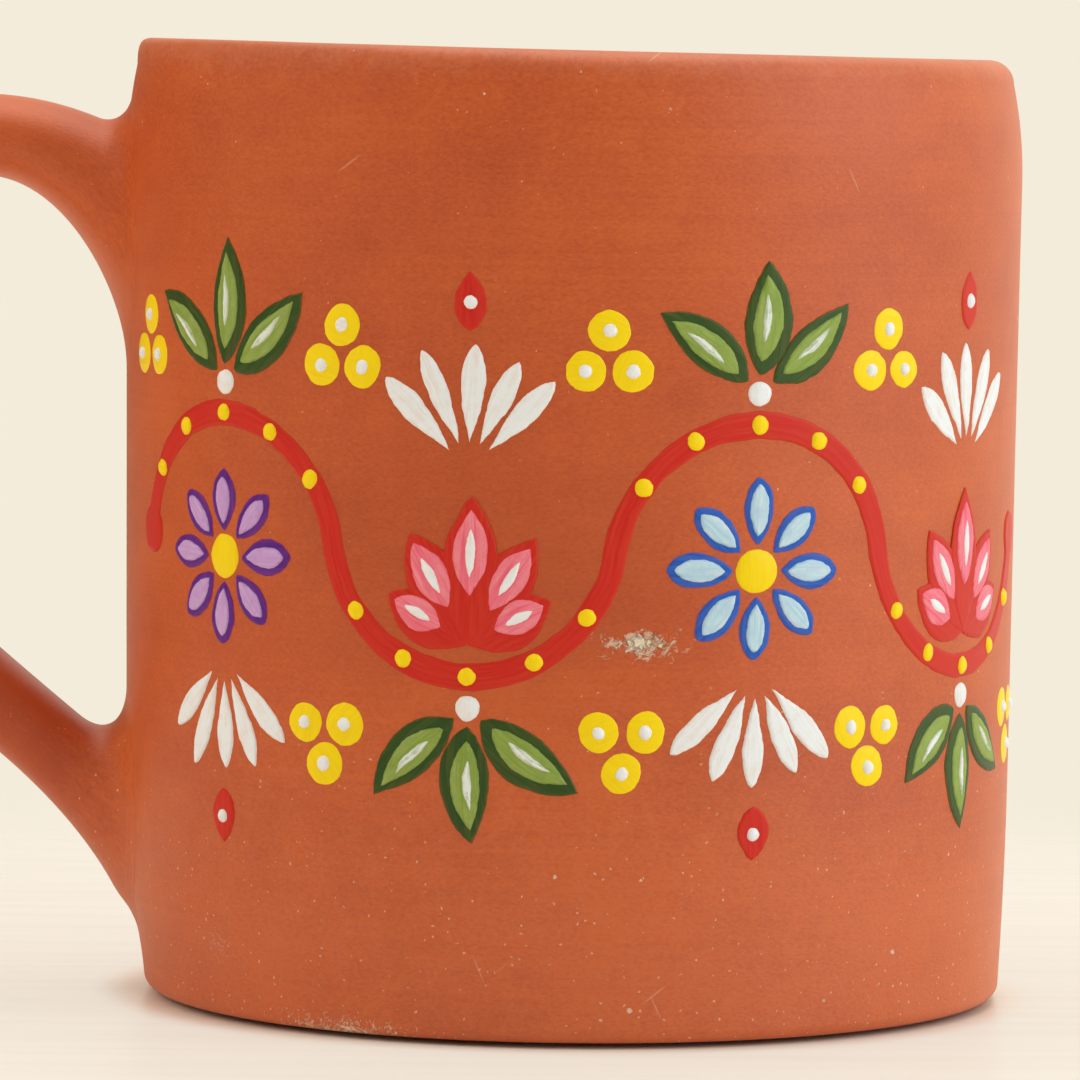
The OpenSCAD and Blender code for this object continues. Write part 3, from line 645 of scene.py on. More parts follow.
class Layout:
    """Places of the motifs. A place is (x, y, turn, length share, lift above the coat)."""

    def __init__(self, cup, handle, paint):
        self.p = paint
        self.radius = float(wall_radius(cup, paint.vine_z))
        half = self.radius * math.sin(paint.vine_step / 2)
        self.arc_r = (half ** 2 + paint.vine_rise ** 2) / (2 * paint.vine_rise)
        self.centre = paint.vine_rise - self.arc_r
        self.sweep = math.acos(min(-self.centre / self.arc_r, 1))
        self.berry_ring = (paint.berry_d + paint.gap) / math.sqrt(3)
        belly = cup.belly_d / 2
        root = math.asin((handle.top_w / 2 + handle.side_spread) / belly)
        berries = math.asin((self.berry_ring + paint.berry_d / 2 + paint.root_gap) / belly)
        first = root + berries - math.radians(90)
        self.turn = first + (paint.berry_turn + (paint.waves - 1) / 2) * paint.vine_step
        self.lotus_z = paint.vine_w / 2 + paint.lotus_gap - paint.vine_rise
        self.spray_z = paint.vine_rise + paint.vine_w / 2 + paint.gap + paint.leaf_dot_d / 2

    def wave_angle(self, i):
        return self.turn + (i - (self.p.waves - 1) / 2) * self.p.vine_step

    def crests(self):
        return range(0, self.p.waves, 2)

    def troughs(self):
        return range(1, self.p.waves, 2)

    def on_wave(self, i, x, y, turn=0.0, share=1.0, lift=0.0, aside=0.0):
        """A place at (x, y) from the middle of a half wave. Troughs are turned over."""
        at = self.radius * (self.wave_angle(i) + aside)
        if i % 2 == 0:
            return at + x, self.p.vine_z + y, turn, share, lift
        return at + x, self.p.vine_z - y, math.pi - turn, share, lift

    def ray(self, i, start, turn, from_y):
        """A place at a distance from a point on the middle of a wave, facing away from it."""
        return self.on_wave(i, -math.sin(turn) * start, from_y + math.cos(turn) * start, turn)

    def vine_path(self):
        """Middle line of the vine, and past both ends."""
        path, wave_steps, end_steps = [], 60, 8
        for i in range(self.p.waves):
            side = 1 if i % 2 == 0 else -1
            for a in np.linspace(-self.sweep, self.sweep, wave_steps, endpoint=i == self.p.waves - 1):
                x, y = self.arc_r * math.sin(a), self.centre + self.arc_r * math.cos(a)
                round_at = self.wave_angle(i) + math.asin(x / self.radius)
                path.append((self.radius * round_at, self.p.vine_z + side * y))
        path = np.array(path)
        ends = [path[0] - path[1], path[-1] - path[-2]]
        ends = [e / np.linalg.norm(e) for e in ends]
        steps = np.linspace(0, self.p.vine_w, end_steps + 1)[1:, None]
        return np.concatenate([(path[0] + ends[0] * steps)[::-1], path, path[-1] + ends[1] * steps])

    def vine_dots(self):
        n, step = self.p.vine_dots, self.sweep * 2 / (self.p.vine_dots + 1)
        turns = [(k - (n - 1) / 2) * step for k in range(n)]
        return [self.ray(i, self.arc_r, a, self.centre) for i in range(self.p.waves) for a in turns]

    def leaves(self):
        start = self.p.leaf_dot_d / 2 + self.p.gap
        return [self.ray(i, start, side * self.p.leaf_spread, self.spray_z)
                for i in range(self.p.waves) for side in (-1, 0, 1)]

    def sprays(self):
        return [self.on_wave(i, 0, self.spray_z) for i in range(self.p.waves)]

    def daisy(self, i):
        start, n = (self.p.daisy_eye_d + self.p.gap) / 2, self.p.daisy_petals
        return [self.ray(i, start, 2 * math.pi * k / n, self.centre) for k in range(n)]

    def eyes(self):
        return [self.on_wave(i, 0, self.centre) for i in self.crests()]

    def lotuses(self):
        """Outer petals are shorter and lie under the inner ones."""
        shares, lap = {0: 1.0, 1: 0.88, 2: 0.68}, 0.04
        return [self.on_wave(i, 0, -self.lotus_z, math.pi - side * self.p.lotus_spread, shares[abs(side)],
                             (2 - abs(side)) * lap * MM)
                for i in self.troughs() for side in (-2, 2, -1, 1, 0)]

    def berries(self):
        y = self.p.vine_rise + self.p.vine_w + self.p.berry_d
        spots = [(-math.sin(a) * self.berry_ring, y + math.cos(a) * self.berry_ring)
                 for a in (0, 2 * math.pi / 3, 4 * math.pi / 3)]
        return [self.on_wave(i, *spot, aside=side * self.p.berry_turn * self.p.vine_step)
                for side in (-1, 1) for i in range(self.p.waves) for spot in spots]

    def fan_feet(self):
        """The point that each fan spreads from, as (wave, height from the middle line)."""
        p = self.p
        above_lotus = self.lotus_z + p.lotus_h + p.fan_gap
        below_daisy = p.daisy_d / 2 - self.centre + p.gap
        return [(i, -above_lotus) for i in self.troughs()] + [(i, -below_daisy) for i in self.crests()]

    def strokes(self):
        p = self.p
        return [self.ray(i, p.fan_gap, math.pi + (k - (p.strokes - 1) / 2) * p.fan_spread, y)
                for i, y in self.fan_feet() for k in range(p.strokes)]

    def buds(self, along=0.0):
        start = self.p.fan_gap + self.p.stroke_len + self.p.bud_gap + along
        return [self.ray(i, start, math.pi, y) for i, y in self.fan_feet()]


# Painted motifs, flat, with the height of the film in z

# How far the edge of a film sinks into what lies below
SINK = 0.04 * MM


def run_along(path):
    """Distance of each point of a line from its start, along the line."""
    return np.concatenate([[0], np.cumsum(np.linalg.norm(np.diff(path, axis=0), axis=1))])


def film_strip(name, spine, half_widths, film, feather, columns=14):
    """A closed film of paint along a line. It is a point at both ends and thins to its edge.

    Each point keeps its place across and along the stroke and its distance from the edge, in millimetres.
    """
    spine = np.asarray(spine, float)
    way = np.gradient(spine, axis=0)
    way /= np.linalg.norm(way, axis=1, keepdims=True)
    side = np.stack([way[:, 1], -way[:, 0]], axis=1)
    along = run_along(spine)
    across = np.sin(np.linspace(-math.pi / 2, math.pi / 2, columns + 1))
    points, brush = [], []
    for k in range(1, len(spine) - 1):
        for u in across:
            edge = min(half_widths[k] * (1 - abs(u)), along[k], along[-1] - along[k])
            rise = film * math.sin(math.pi / 2 * min(edge / feather, 1)) if edge > 1e-9 else -SINK
            points.append((*(spine[k] + side[k] * u * half_widths[k]), rise))
            brush.append((u * half_widths[k], along[k], edge))
    rows, n = len(spine) - 2, columns + 1
    start, end = len(points), len(points) + 1
    points += [(*spine[0], -SINK), (*spine[-1], -SINK)]
    brush += [(0, 0, 0), (0, along[-1], 0)]
    faces = []
    for r in range(rows - 1):
        a, b = r * n, (r + 1) * n
        faces += [(a + i, a + i + 1, b + i + 1, b + i) for i in range(columns)]
        faces.append((a, b, b + columns, a + columns))
    last = (rows - 1) * n
    faces += [(start, i + 1, i) for i in range(columns)] + [(start, 0, columns)]
    faces += [(last + i, last + i + 1, end) for i in range(columns)] + [(last + columns, last, end)]
    mesh = new_mesh(name, points, faces)
    keep_values(mesh, "brush", np.array(brush) / MM, "FLOAT_VECTOR")
    return mesh


def petal(name, size, film, feather, belly, blunt, bend=0.0, start=0.0, rows=84):
    """A film in the shape of a petal or leaf (length, width) that points up and is widest at belly."""
    long, wide = size
    t = (1 - np.cos(np.linspace(0, math.pi, rows))) / 2
    half = wide / 2 * (1 - np.abs(2 * t ** (math.log(0.5) / math.log(belly)) - 1) ** 2) ** blunt
    spine = np.stack([bend * (t - t ** 2) * 4, start + long * t], axis=1)
    return film_strip(name, spine, np.maximum(half, 0), film, feather)


def drop(name, diameter, film, sides=56, rings=8):
    """A round drop of paint with a domed top."""
    r = diameter / 2
    points, brush = [(0, 0, film)], [(0, 0, r)]
    for k in range(1, rings + 1):
        share = math.sin(math.pi / 2 * k / rings)
        rise = film * (1 - share ** 3) if k < rings else -SINK
        for a in np.linspace(0, 2 * math.pi, sides, endpoint=False):
            points.append((r * share * math.cos(a), r * share * math.sin(a), rise))
            brush.append((r * share * math.cos(a), r * share * math.sin(a), r * (1 - share)))
    faces = [(0, 1 + i, 1 + (i + 1) % sides) for i in range(sides)]
    for k in range(rings - 1):
        a, b = 1 + k * sides, 1 + (k + 1) * sides
        faces += [(a + i, b + i, b + (i + 1) % sides, a + (i + 1) % sides) for i in range(sides)]
    faces.append(tuple(1 + (rings - 1) * sides + i for i in reversed(range(sides))))
    mesh = new_mesh(name, points, faces)
    keep_values(mesh, "brush", np.array(brush) / MM, "FLOAT_VECTOR")
    return mesh


# Values that each place of a motif carries, after its x and y
PLACED = ["turn", "share", "lift"]


def brushed_tree():
    """Stamps a motif at each place on a flat sheet, lets the hand stray, and wraps the sheet on the wall."""
    tree, add, given = new_tree("Brushed on the wall", {
        "Motif": "Object", "Wall": "Object", "Sheet radius": "Float", "Coat height": "Float",
        "Hand": "Float", "Hand run": "Float", "Hand turn": "Float", "Hand size": "Float",
        "Stray": "Float", "Seed": "Int", "Paint": "Material"})
    turn, share, lift = [add("GeometryNodeInputNamedAttribute", name, data_type="FLOAT") for name in PLACED]
    # No two stamps are quite alike
    low_turn = add(MATH, given["Hand turn"], -1.0, operation="MULTIPLY")
    turned = add("FunctionNodeRandomValue", at={2: low_turn, 3: given["Hand turn"], 8: given["Seed"]},
                 data_type="FLOAT").outputs[1]
    turned = add(MATH, turn, turned, operation="ADD")
    low_size = add(MATH, 1.0, given["Hand size"], operation="SUBTRACT")
    high_size = add(MATH, 1.0, given["Hand size"], operation="ADD")
    low = add("ShaderNodeCombineXYZ", low_size, low_size, 1.0)
    high = add("ShaderNodeCombineXYZ", high_size, high_size, 1.0)
    sized = add("FunctionNodeRandomValue", at={0: low, 1: high, 8: given["Seed"]}, data_type="FLOAT_VECTOR")
    longer = add("ShaderNodeCombineXYZ", 1.0, share, 1.0)
    sized = add(VECTOR, sized, longer, operation="MULTIPLY")
    motif = add("GeometryNodeObjectInfo", given["Motif"], transform_space="ORIGINAL").outputs["Geometry"]
    stamps = add("GeometryNodeInstanceOnPoints", given["Geometry"], at={
        "Instance": motif, "Rotation": add("ShaderNodeCombineXYZ", at={"Z": turned}), "Scale": sized})
    stamps = add("GeometryNodeRealizeInstances", stamps)
    # The edge strays in long swerves and in short ragged ones
    place = add("GeometryNodeInputPosition")
    run = add(MATH, 1.0, given["Hand run"], operation="DIVIDE")
    stray = add(NOISE, place, noise_dimensions="4D", at={
        "W": given["Stray"], "Scale": run, "Detail": 4.0, "Roughness": 0.66})
    stray = add(VECTOR, stray.outputs["Color"], (0.5, 0.5, 0.5), operation="SUBTRACT")
    stray = add(VECTOR, stray, (2, 2, 0), operation="MULTIPLY")
    stray = add(VECTOR, stray, at={"Scale": given["Hand"]}, operation="SCALE")
    strayed = add("GeometryNodeSetPosition", stamps, at={"Offset": stray})
    # Wraps the sheet round the cup and sets it down on the clay
    parts = add("ShaderNodeSeparateXYZ", place).outputs
    round_at = add(MATH, parts["X"], given["Sheet radius"], operation="DIVIDE")
    sine = add(MATH, round_at, operation="SINE")
    cosine = add(MATH, round_at, operation="COSINE")
    cosine = add(MATH, cosine, -1.0, operation="MULTIPLY")
    outward = add("ShaderNodeCombineXYZ", sine, cosine, 0.0)
    far = add(VECTOR, outward, at={"Scale": 2 * CUP_BOX[1].x}, operation="SCALE")
    far = add(VECTOR, far, add("ShaderNodeCombineXYZ", at={"Z": parts["Y"]}), operation="ADD")
    inward = add(VECTOR, outward, at={"Scale": -1.0}, operation="SCALE")
    wall = add("GeometryNodeObjectInfo", given["Wall"], transform_space="ORIGINAL").outputs["Geometry"]
    hit = add("GeometryNodeRaycast", wall, at={
        "Source Position": far, "Ray Direction": inward, "Ray Length": 1.0})
    height = add(MATH, parts["Z"], given["Coat height"], operation="ADD")
    height = add(MATH, height, lift, operation="ADD")
    proud = add(VECTOR, hit.outputs["Hit Normal"], at={"Scale": height}, operation="SCALE")
    spot = add(VECTOR, hit.outputs["Hit Position"], proud, operation="ADD")
    wrapped = add("GeometryNodeSetPosition", strayed, at={"Position": spot})
    smooth = add("GeometryNodeSetShadeSmooth", wrapped, at={"Shade Smooth": True})
    add("NodeGroupOutput", add("GeometryNodeSetMaterial", smooth, at={"Material": given["Paint"]}))
    return tree


def brush_on(scene, node, slot, paint, motif, places, coat, seed, turn=3.0, size=0.05):
    """Paints one node: stamps a flat motif at its places and wraps it on the cup.

    Stamps stray by a turn in degrees and by a share of their size. A coat lies on the coats below it, and
    strays a little apart from them.
    """
    sizes, apart = scene.mug_paint, 0.35
    places = np.array(places, float)
    mesh = bpy.data.meshes.new(node)
    mesh.from_pydata([(x, y, 0) for x, y in places[:, :2]], [], [])
    for column, name in enumerate(PLACED, 2):
        keep_values(mesh, name, places[:, column])
    piece = new_piece(node + "_coat", mesh)
    stamp = new_piece("stamp", motif)
    tree = bpy.data.node_groups.get("Brushed on the wall") or brushed_tree()
    settle(piece, tree, {
        "Motif": stamp, "Wall": bpy.data.objects["thrown_cup"], "Paint": acrylic(paint, scene.mug_colours),
        "Sheet radius": float(wall_radius(scene.mug_cup, sizes.vine_z)),
        "Coat height": (coat - 1) * sizes.coat_t, "Hand": sizes.hand, "Hand run": sizes.hand_run,
        "Hand turn": math.radians(turn), "Hand size": size, "Stray": apart * coat + seed, "Seed": seed})
    bpy.data.objects.remove(stamp)
    bpy.data.meshes.remove(motif)
    stand_for(piece, node)


def paint_box(scene):
    """What every painting step needs: the brush, the layout and the sizes."""
    layout = Layout(scene.mug_cup, scene.mug_handle, scene.mug_paint)
    return partial(brush_on, scene), layout, scene.mug_paint


class MUG_OT_paint_vine(bpy.types.Operator):
    """Paints the red vine and the yellow dots on it"""
    bl_idname = "mug.paint_vine"
    bl_label = "Paint the vine"

    def execute(self, context):
        brush, layout, p = paint_box(context.scene)
        path = layout.vine_path()
        along = run_along(path)
        # The brush presses more and less, and leaves a round knob at both ends
        press = 1 + 0.07 * np.sin(along / (7 * MM)) + 0.05 * np.sin(along / (2.9 * MM) + 1)
        half = p.vine_w / 2 * press
        from_end = np.minimum(along, along[-1] - along)
        knob = np.sqrt(np.maximum(p.vine_w ** 2 - (from_end - p.vine_w) ** 2, 0))
        ends = np.maximum(knob, np.where(from_end < p.vine_w, 0, half))
        half = np.where(from_end < 2 * p.vine_w, ends, half)
        vine = film_strip("vine", path, half, p.coat_t, p.feather)
        # The vine is drawn in its place, so its one stamp is neither moved nor turned
        in_place = [(0, 0, 0, 1, 0)]
        brush("vine_line", "red_paint", "Red acrylic", vine, in_place, coat=1, seed=3, turn=0, size=0)
        dot = drop("dot", p.vine_dot_d, p.drop_t)
        brush("vine_dots", "yellow_paint", "Yellow acrylic", dot, layout.vine_dots(), coat=2, seed=4)
        return {"FINISHED"}


class MUG_OT_paint_leaves(bpy.types.Operator):
    """Paints the sprays of leaves: dark border, lime middle, pale streak and a dot at the root"""
    bl_idname = "mug.paint_leaves"
    bl_label = "Paint the leaves"

    def execute(self, context):
        brush, layout, p = paint_box(context.scene)
        coats = [("leaf_bases", "dark_green_paint", "Dark green acrylic", 1.0, 1.0),
                 ("leaf_centres", "lime_paint", "Lime acrylic", p.inner_share, p.inner_slim),
                 ("leaf_highlights", "white_paint", "Thin white acrylic", p.light_share, p.light_slim)]
        for coat, (node, slot, paint, share, slim) in enumerate(coats, 1):
            size = (p.leaf_len * share, p.leaf_w * slim)
            leaf = petal("leaf", size, p.coat_t, p.feather, belly=0.45, blunt=0.95,
                         bend=p.leaf_bend * share, start=p.leaf_len * (1 - share) / 2)
            brush(node, slot, paint, leaf, layout.leaves(), coat, seed=11, turn=5, size=0.08)
        dot = drop("dot", p.leaf_dot_d, p.drop_t)
        brush("leaf_root_dots", "white_paint", "White acrylic", dot, layout.sprays(), coat=1, seed=12)
        return {"FINISHED"}


class MUG_OT_paint_daisies(bpy.types.Operator):
    """Paints the violet daisy and the blue one, and their eyes"""
    bl_idname = "mug.paint_daisies"
    bl_label = "Paint the daisies"

    def execute(self, context):
        brush, layout, p = paint_box(context.scene)
        long = (p.daisy_d - p.daisy_eye_d - p.gap) / 2
        flowers = [[("violet_daisy", "violet_paint", "Violet acrylic", 1.0, 1.0),
                    ("violet_daisy_petals", "lilac_paint", "Lilac acrylic", p.inner_share, p.inner_slim)],
                   [("blue_daisy", "blue_paint", "Blue acrylic", 1.0, 1.0),
                    ("blue_daisy_petals", "sky_paint", "Sky acrylic", p.inner_share, p.inner_slim)]]
        for i, coats in zip(layout.crests(), flowers):
            for coat, (node, slot, paint, share, slim) in enumerate(coats, 1):
                size, start = (long * share, p.daisy_petal_w * slim), long * (1 - share) / 2
                one = petal("petal", size, p.coat_t, p.feather, belly=0.55, blunt=0.7, start=start)
                brush(node, slot, paint, one, layout.daisy(i), coat, seed=21 + i, turn=4, size=0.06)
        eye = drop("eye", p.daisy_eye_d, p.drop_t)
        brush("daisy_eyes", "yellow_paint", "Yellow acrylic", eye, layout.eyes(), coat=1, seed=25)
        return {"FINISHED"}


class MUG_OT_paint_lotuses(bpy.types.Operator):
    """Paints the lotuses: red petals with pink middles and white streaks"""
    bl_idname = "mug.paint_lotuses"
    bl_label = "Paint the lotuses"

    def execute(self, context):
        brush, layout, p = paint_box(context.scene)
        inner, light = p.inner_share ** 2, p.light_share * p.inner_share
        coats = [("lotus_bases", "red_paint", "Red acrylic", 1.0, 1.0),
                 ("lotus_petals", "pink_paint", "Pink acrylic", inner, p.inner_slim),
                 ("lotus_highlights", "white_paint", "White acrylic", light, p.light_slim)]
        for coat, (node, slot, paint, share, slim) in enumerate(coats, 1):
            start = 0.0 if coat == 1 else p.lotus_h * ((1 - p.inner_share) / 2 + (1 - share) / 2)
            size = (p.lotus_h * share, p.lotus_petal_w * slim)
            one = petal("petal", size, p.coat_t, p.feather, belly=0.5, blunt=0.9, start=start)
            brush(node, slot, paint, one, layout.lotuses(), coat, seed=31, turn=2, size=0.04)
        return {"FINISHED"}


class MUG_OT_paint_berries(bpy.types.Operator):
    """Paints the yellow berries and the dots on them"""
    bl_idname = "mug.paint_berries"
    bl_label = "Paint the berries"

    def execute(self, context):
        brush, layout, p = paint_box(context.scene)
        places, any_way = layout.berries(), 180
        berry = drop("berry", p.berry_d, p.coat_t * 1.2)
        brush("berries", "yellow_paint", "Yellow acrylic", berry, places, coat=1, seed=41,
              turn=any_way, size=0.07)
        dot = drop("dot", p.berry_dot_d, p.drop_t)
        brush("berry_dots", "white_paint", "White acrylic", dot, places, coat=2, seed=41,
              turn=any_way, size=0.12)
        return {"FINISHED"}


class MUG_OT_paint_strokes(bpy.types.Operator):
    """Paints the fans of white comma strokes"""
    bl_idname = "mug.paint_strokes"
    bl_label = "Paint the comma strokes"

    def execute(self, context):
        brush, layout, p = paint_box(context.scene)
        size = (p.stroke_len, p.stroke_w)
        stroke = petal("stroke", size, p.coat_t * 1.3, p.feather, belly=0.62, blunt=0.75)
        brush("comma_strokes", "white_paint", "White acrylic", stroke, layout.strokes(), coat=1, seed=51,
              turn=4, size=0.08)
        return {"FINISHED"}


class MUG_OT_paint_buds(bpy.types.Operator):
    """Paints the red buds and the dots on them"""
    bl_idname = "mug.paint_buds"
    bl_label = "Paint the buds"

    def execute(self, context):
        brush, layout, p = paint_box(context.scene)
        bud = petal("bud", (p.bud_len, p.bud_w), p.coat_t, p.feather, belly=0.45, blunt=0.9)
        brush("buds", "red_paint", "Red acrylic", bud, layout.buds(), coat=1, seed=61)
        dot = drop("dot", p.berry_dot_d, p.drop_t)
        brush("bud_dots", "white_paint", "White acrylic", dot, layout.buds(p.bud_len / 2), coat=2, seed=61)
        return {"FINISHED"}


# Finishes

def new_material(name):
    """An empty material, and the function that adds nodes to it."""
    material = bpy.data.materials.new(name)
    material.use_nodes = True
    material.node_tree.nodes.clear()
    return material, partial(add_node, material.node_tree)


def turned_terracotta(tints):
    """Low-fired red clay, turned with a rib and left unglazed.

    It is matt and finely gritty. Fire clouds it over some centimetres. Low on the wall it is painted paler
    towards the foot, as painted light thrown up from the table. The handle is painted darker at its low end
    and paler at its top, as painted shade and painted highlight. The rim carries a pale band that is partly
    dust and partly painted highlight. The rib leaves faint lines along its path. Pale grit, pits and a few
    hair scratches show, and dry dust clings to the foot.
    """
    made = bpy.data.materials.get("Turned terracotta")
    if made:
        return made
    material, add = new_material("Turned terracotta")
    mottle, low_zone, crumb_run, crumb_reach, speck_edge = 3.5, 30.0, 0.2, 0.42, 25.0
    mm = add(VECTOR, add("ShaderNodeTexCoord").outputs["Object"], at={"Scale": 1 / MM}, operation="SCALE")
    parts = add("ShaderNodeSeparateXYZ", mm).outputs
    rib = add("ShaderNodeAttribute", attribute_name="rib", attribute_type="GEOMETRY").outputs["Fac"]
    turned_at = add("ShaderNodeCombineXYZ", parts["X"], parts["Y"], rib)
    # Clouds from the fire, lines along the rib's path, and grains: runs in millimetres, and how rough each is
    noises = []
    for place, runs, rough in [(mm, (34, 34, 15), 0.5),
                               (turned_at, (26, 26, 0.4), 0.6),
                               (turned_at, (0.45, 0.45, 0.24), 0.65)]:
        place = add(VECTOR, place, tuple(1 / run for run in runs), operation="MULTIPLY")
        noises.append(add(NOISE, place, at={"Scale": 1.0, "Detail": 3.0, "Roughness": rough}))
    clouds, lines, grains = noises
    mottles = add(NOISE, mm, at={"Scale": 1 / mottle, "Detail": 2.0})
    lined = add(RANGE, clouds.outputs["Color"], 0.38, 0.62, 0.05, 0.2)
    tone = 0.0
    for noise, share in [(clouds, 0.34), (lines, lined), (mottles, 0.16), (grains, 0.52)]:
        tone = add(MATH, noise, share, tone, operation="MULTIPLY_ADD")
    # Painted light: paler towards the foot, as light thrown up from the table. On the handle, painted shade
    # at its low end rises to a painted highlight at its top
    foot = add(RANGE, parts["Z"], low_zone, 0.0, 0.0, 0.065)
    tone = add(MATH, tone, foot, operation="ADD")
    on_handle = add(RANGE, parts["X"], -41.0, -47.0)
    painted_handle_shade_and_highlight = add(RANGE, parts["Z"], 20.0, 80.0, -0.2, 0.1)
    tone = add(MATH, on_handle, painted_handle_shade_and_highlight, tone, operation="MULTIPLY_ADD")
    tone = add(RANGE, tone, 0.42, 0.7)
    tint = add(MIX, tone, at={6: tints.clay_deep, 7: tints.clay_pale}, data_type="RGBA").outputs[2]
    # Grit and pits, with more of them low down and in patches. Each kind: gap between its cells, share of
    # cells without any, largest radius, cover, colour and rise
    low = add(RANGE, parts["Z"], low_zone, 0.0, -0.72, -0.2)
    low = add(MATH, mottles, 1.1, low, operation="MULTIPLY_ADD")
    crumbly = add(NOISE, mm, at={"Scale": 1 / crumb_run, "Detail": 2.0}).outputs["Color"]
    crumbly = add(VECTOR, crumbly, at={"Scale": crumb_reach}, operation="SCALE")
    crumbly = add(VECTOR, mm, crumbly, operation="ADD")
    relief = add(MATH, grains, 0.8, operation="MULTIPLY")
    relief = add(MATH, lines, lined, relief, operation="MULTIPLY_ADD")
    for gap, bare, largest, cover, grit, rise in [(0.7, 0.48, 0.12, 0.65, tints.grit, 0.5),
                                                  (3.7, 0.75, 0.24, 0.85, tints.grit, 1.0),
                                                  (2.9, 0.9, 0.1, 0.45, tints.pit, -1.0)]:
        cells = add("ShaderNodeTexVoronoi", crumbly, at={"Scale": 1 / gap})
        size = add("ShaderNodeSeparateColor", cells.outputs["Color"])
        size = add(MATH, size, bare, operation="SUBTRACT")
        size = add(MATH, size, low, operation="ADD")
        size = add(MATH, size, 1 / (1 - bare), operation="MULTIPLY", use_clamp=True)
        size = add(MATH, size, largest / gap, operation="MULTIPLY")
        speck = add(MATH, size, cells.outputs["Distance"], operation="SUBTRACT")
        speck = add(MATH, speck, speck_edge * gap, operation="MULTIPLY", use_clamp=True)
        shown = add(MATH, speck, cover, operation="MULTIPLY")
        tint = add(MIX, shown, at={6: tint, 7: grit}, data_type="RGBA").outputs[2]
        relief = add(MATH, speck, rise, relief, operation="MULTIPLY_ADD")
    # Hair scratches, some millimetres long and far apart
    for slant in (66, -38):
        long_at = add("ShaderNodeMapping", mm, at={
            "Rotation": (0, math.radians(slant), 0), "Scale": (4.5, 4.5, 0.3)}, vector_type="TEXTURE")
        hairs = add("ShaderNodeTexVoronoi", long_at, at={"Scale": 1.0})
        rare = add("ShaderNodeSeparateColor", hairs.outputs["Color"])
        rare = add(MATH, rare, 0.9987, operation="GREATER_THAN")
        thin = add(RANGE, hairs.outputs["Distance"], 0.34, 0.2, 0.0, 0.24)
        hair = add(MATH, rare, thin, operation="MULTIPLY")
        tint = add(MIX, hair, at={6: tint, 7: tints.grit}, data_type="RGBA").outputs[2]
    # A cloud from the fire, dust and a speckled patch at the foot, a pale band on the rim that is partly dust
    # and partly painted highlight where light falls on its top, a haze low down, and a scuff: its fringe, its
    # dry crust and the strands across it
    for middle, size, crumb, ragged, start, full, most, rise, mark in [
            ((-6, -40, 42), (24, 24, 20), 6.0, 0.6, -0.6, 0.2, 0.4, 0.0, tints.clay_deep),
            ((-20, -35, 0.3), (16, 13, 2.8), 0.42, 2.6, 1.0, 1.35, 0.8, 1.0, tints.dust_and_rim_highlight),
            ((-31, -25.5, 6.5), (7, 8, 5), 0.35, 2.2, 0.95, 1.4, 0.25, 0.3, tints.dust_and_rim_highlight),
            # Pale band on the rim: partly dust, partly painted highlight where light falls on the rim's top
            ((0, 0, 88), (60, 60, 5), 1.6, 0.8, -0.7, -0.3, 0.07, 0.0, tints.dust_and_rim_highlight),
            ((0, 0, 0), (48, 48, 34), 1.6, 0.8, -0.85, -0.4, 0.035, 0.0, tints.dust_and_rim_highlight),
            ((6.4, -40.1, 35), (6.0, 3, 2.1), 1.0, 2.8, 0.95, 1.2, 0.55, 2.0, tints.dust_and_rim_highlight),
            ((6.6, -40.1, 35.2), (2.4, 3, 1.1), 1.2, 2.8, 0.85, 1.15, 0.7, 8.0, tints.crust),
            ((6.2, -40.1, 35.1), (4.4, 3, 1.5), 0.8, 2.8, 1.0, 1.16, 0.95, 7.0, tints.dust_and_rim_highlight)]:
        near = add(VECTOR, mm, middle, operation="SUBTRACT")
        near = add(VECTOR, near, tuple(1 / s for s in size), operation="MULTIPLY")
        near = add(VECTOR, near, operation="LENGTH").outputs["Value"]
        crumbs = add(NOISE, mm, at={
            "Scale": 1 / crumb, "Detail": 4.0, "Roughness": 0.65, "Distortion": 1.2})
        cover = add(MATH, crumbs, ragged, operation="MULTIPLY")
        cover = add(MATH, cover, near, operation="SUBTRACT")
        cover = add(RANGE, cover, start, full, 0.0, most)
        tint = add(MIX, cover, at={6: tint, 7: mark}, data_type="RGBA").outputs[2]
        relief = add(MATH, cover, rise, relief, operation="MULTIPLY_ADD")
    bump = add("ShaderNodeBump", at={"Strength": 1.0, "Distance": 0.045 * MM, "Height": relief})
    rough = add(RANGE, grains, 0.3, 0.7, 0.42, 0.52)
    shader = add("ShaderNodeBsdfPrincipled", at={
        "Base Color": tint, "Roughness": rough, "IOR": 1.45, "Specular IOR Level": 0.6,
        "Diffuse Roughness": 0.5, "Normal": bump})
    add("ShaderNodeOutputMaterial", shader)
    return material


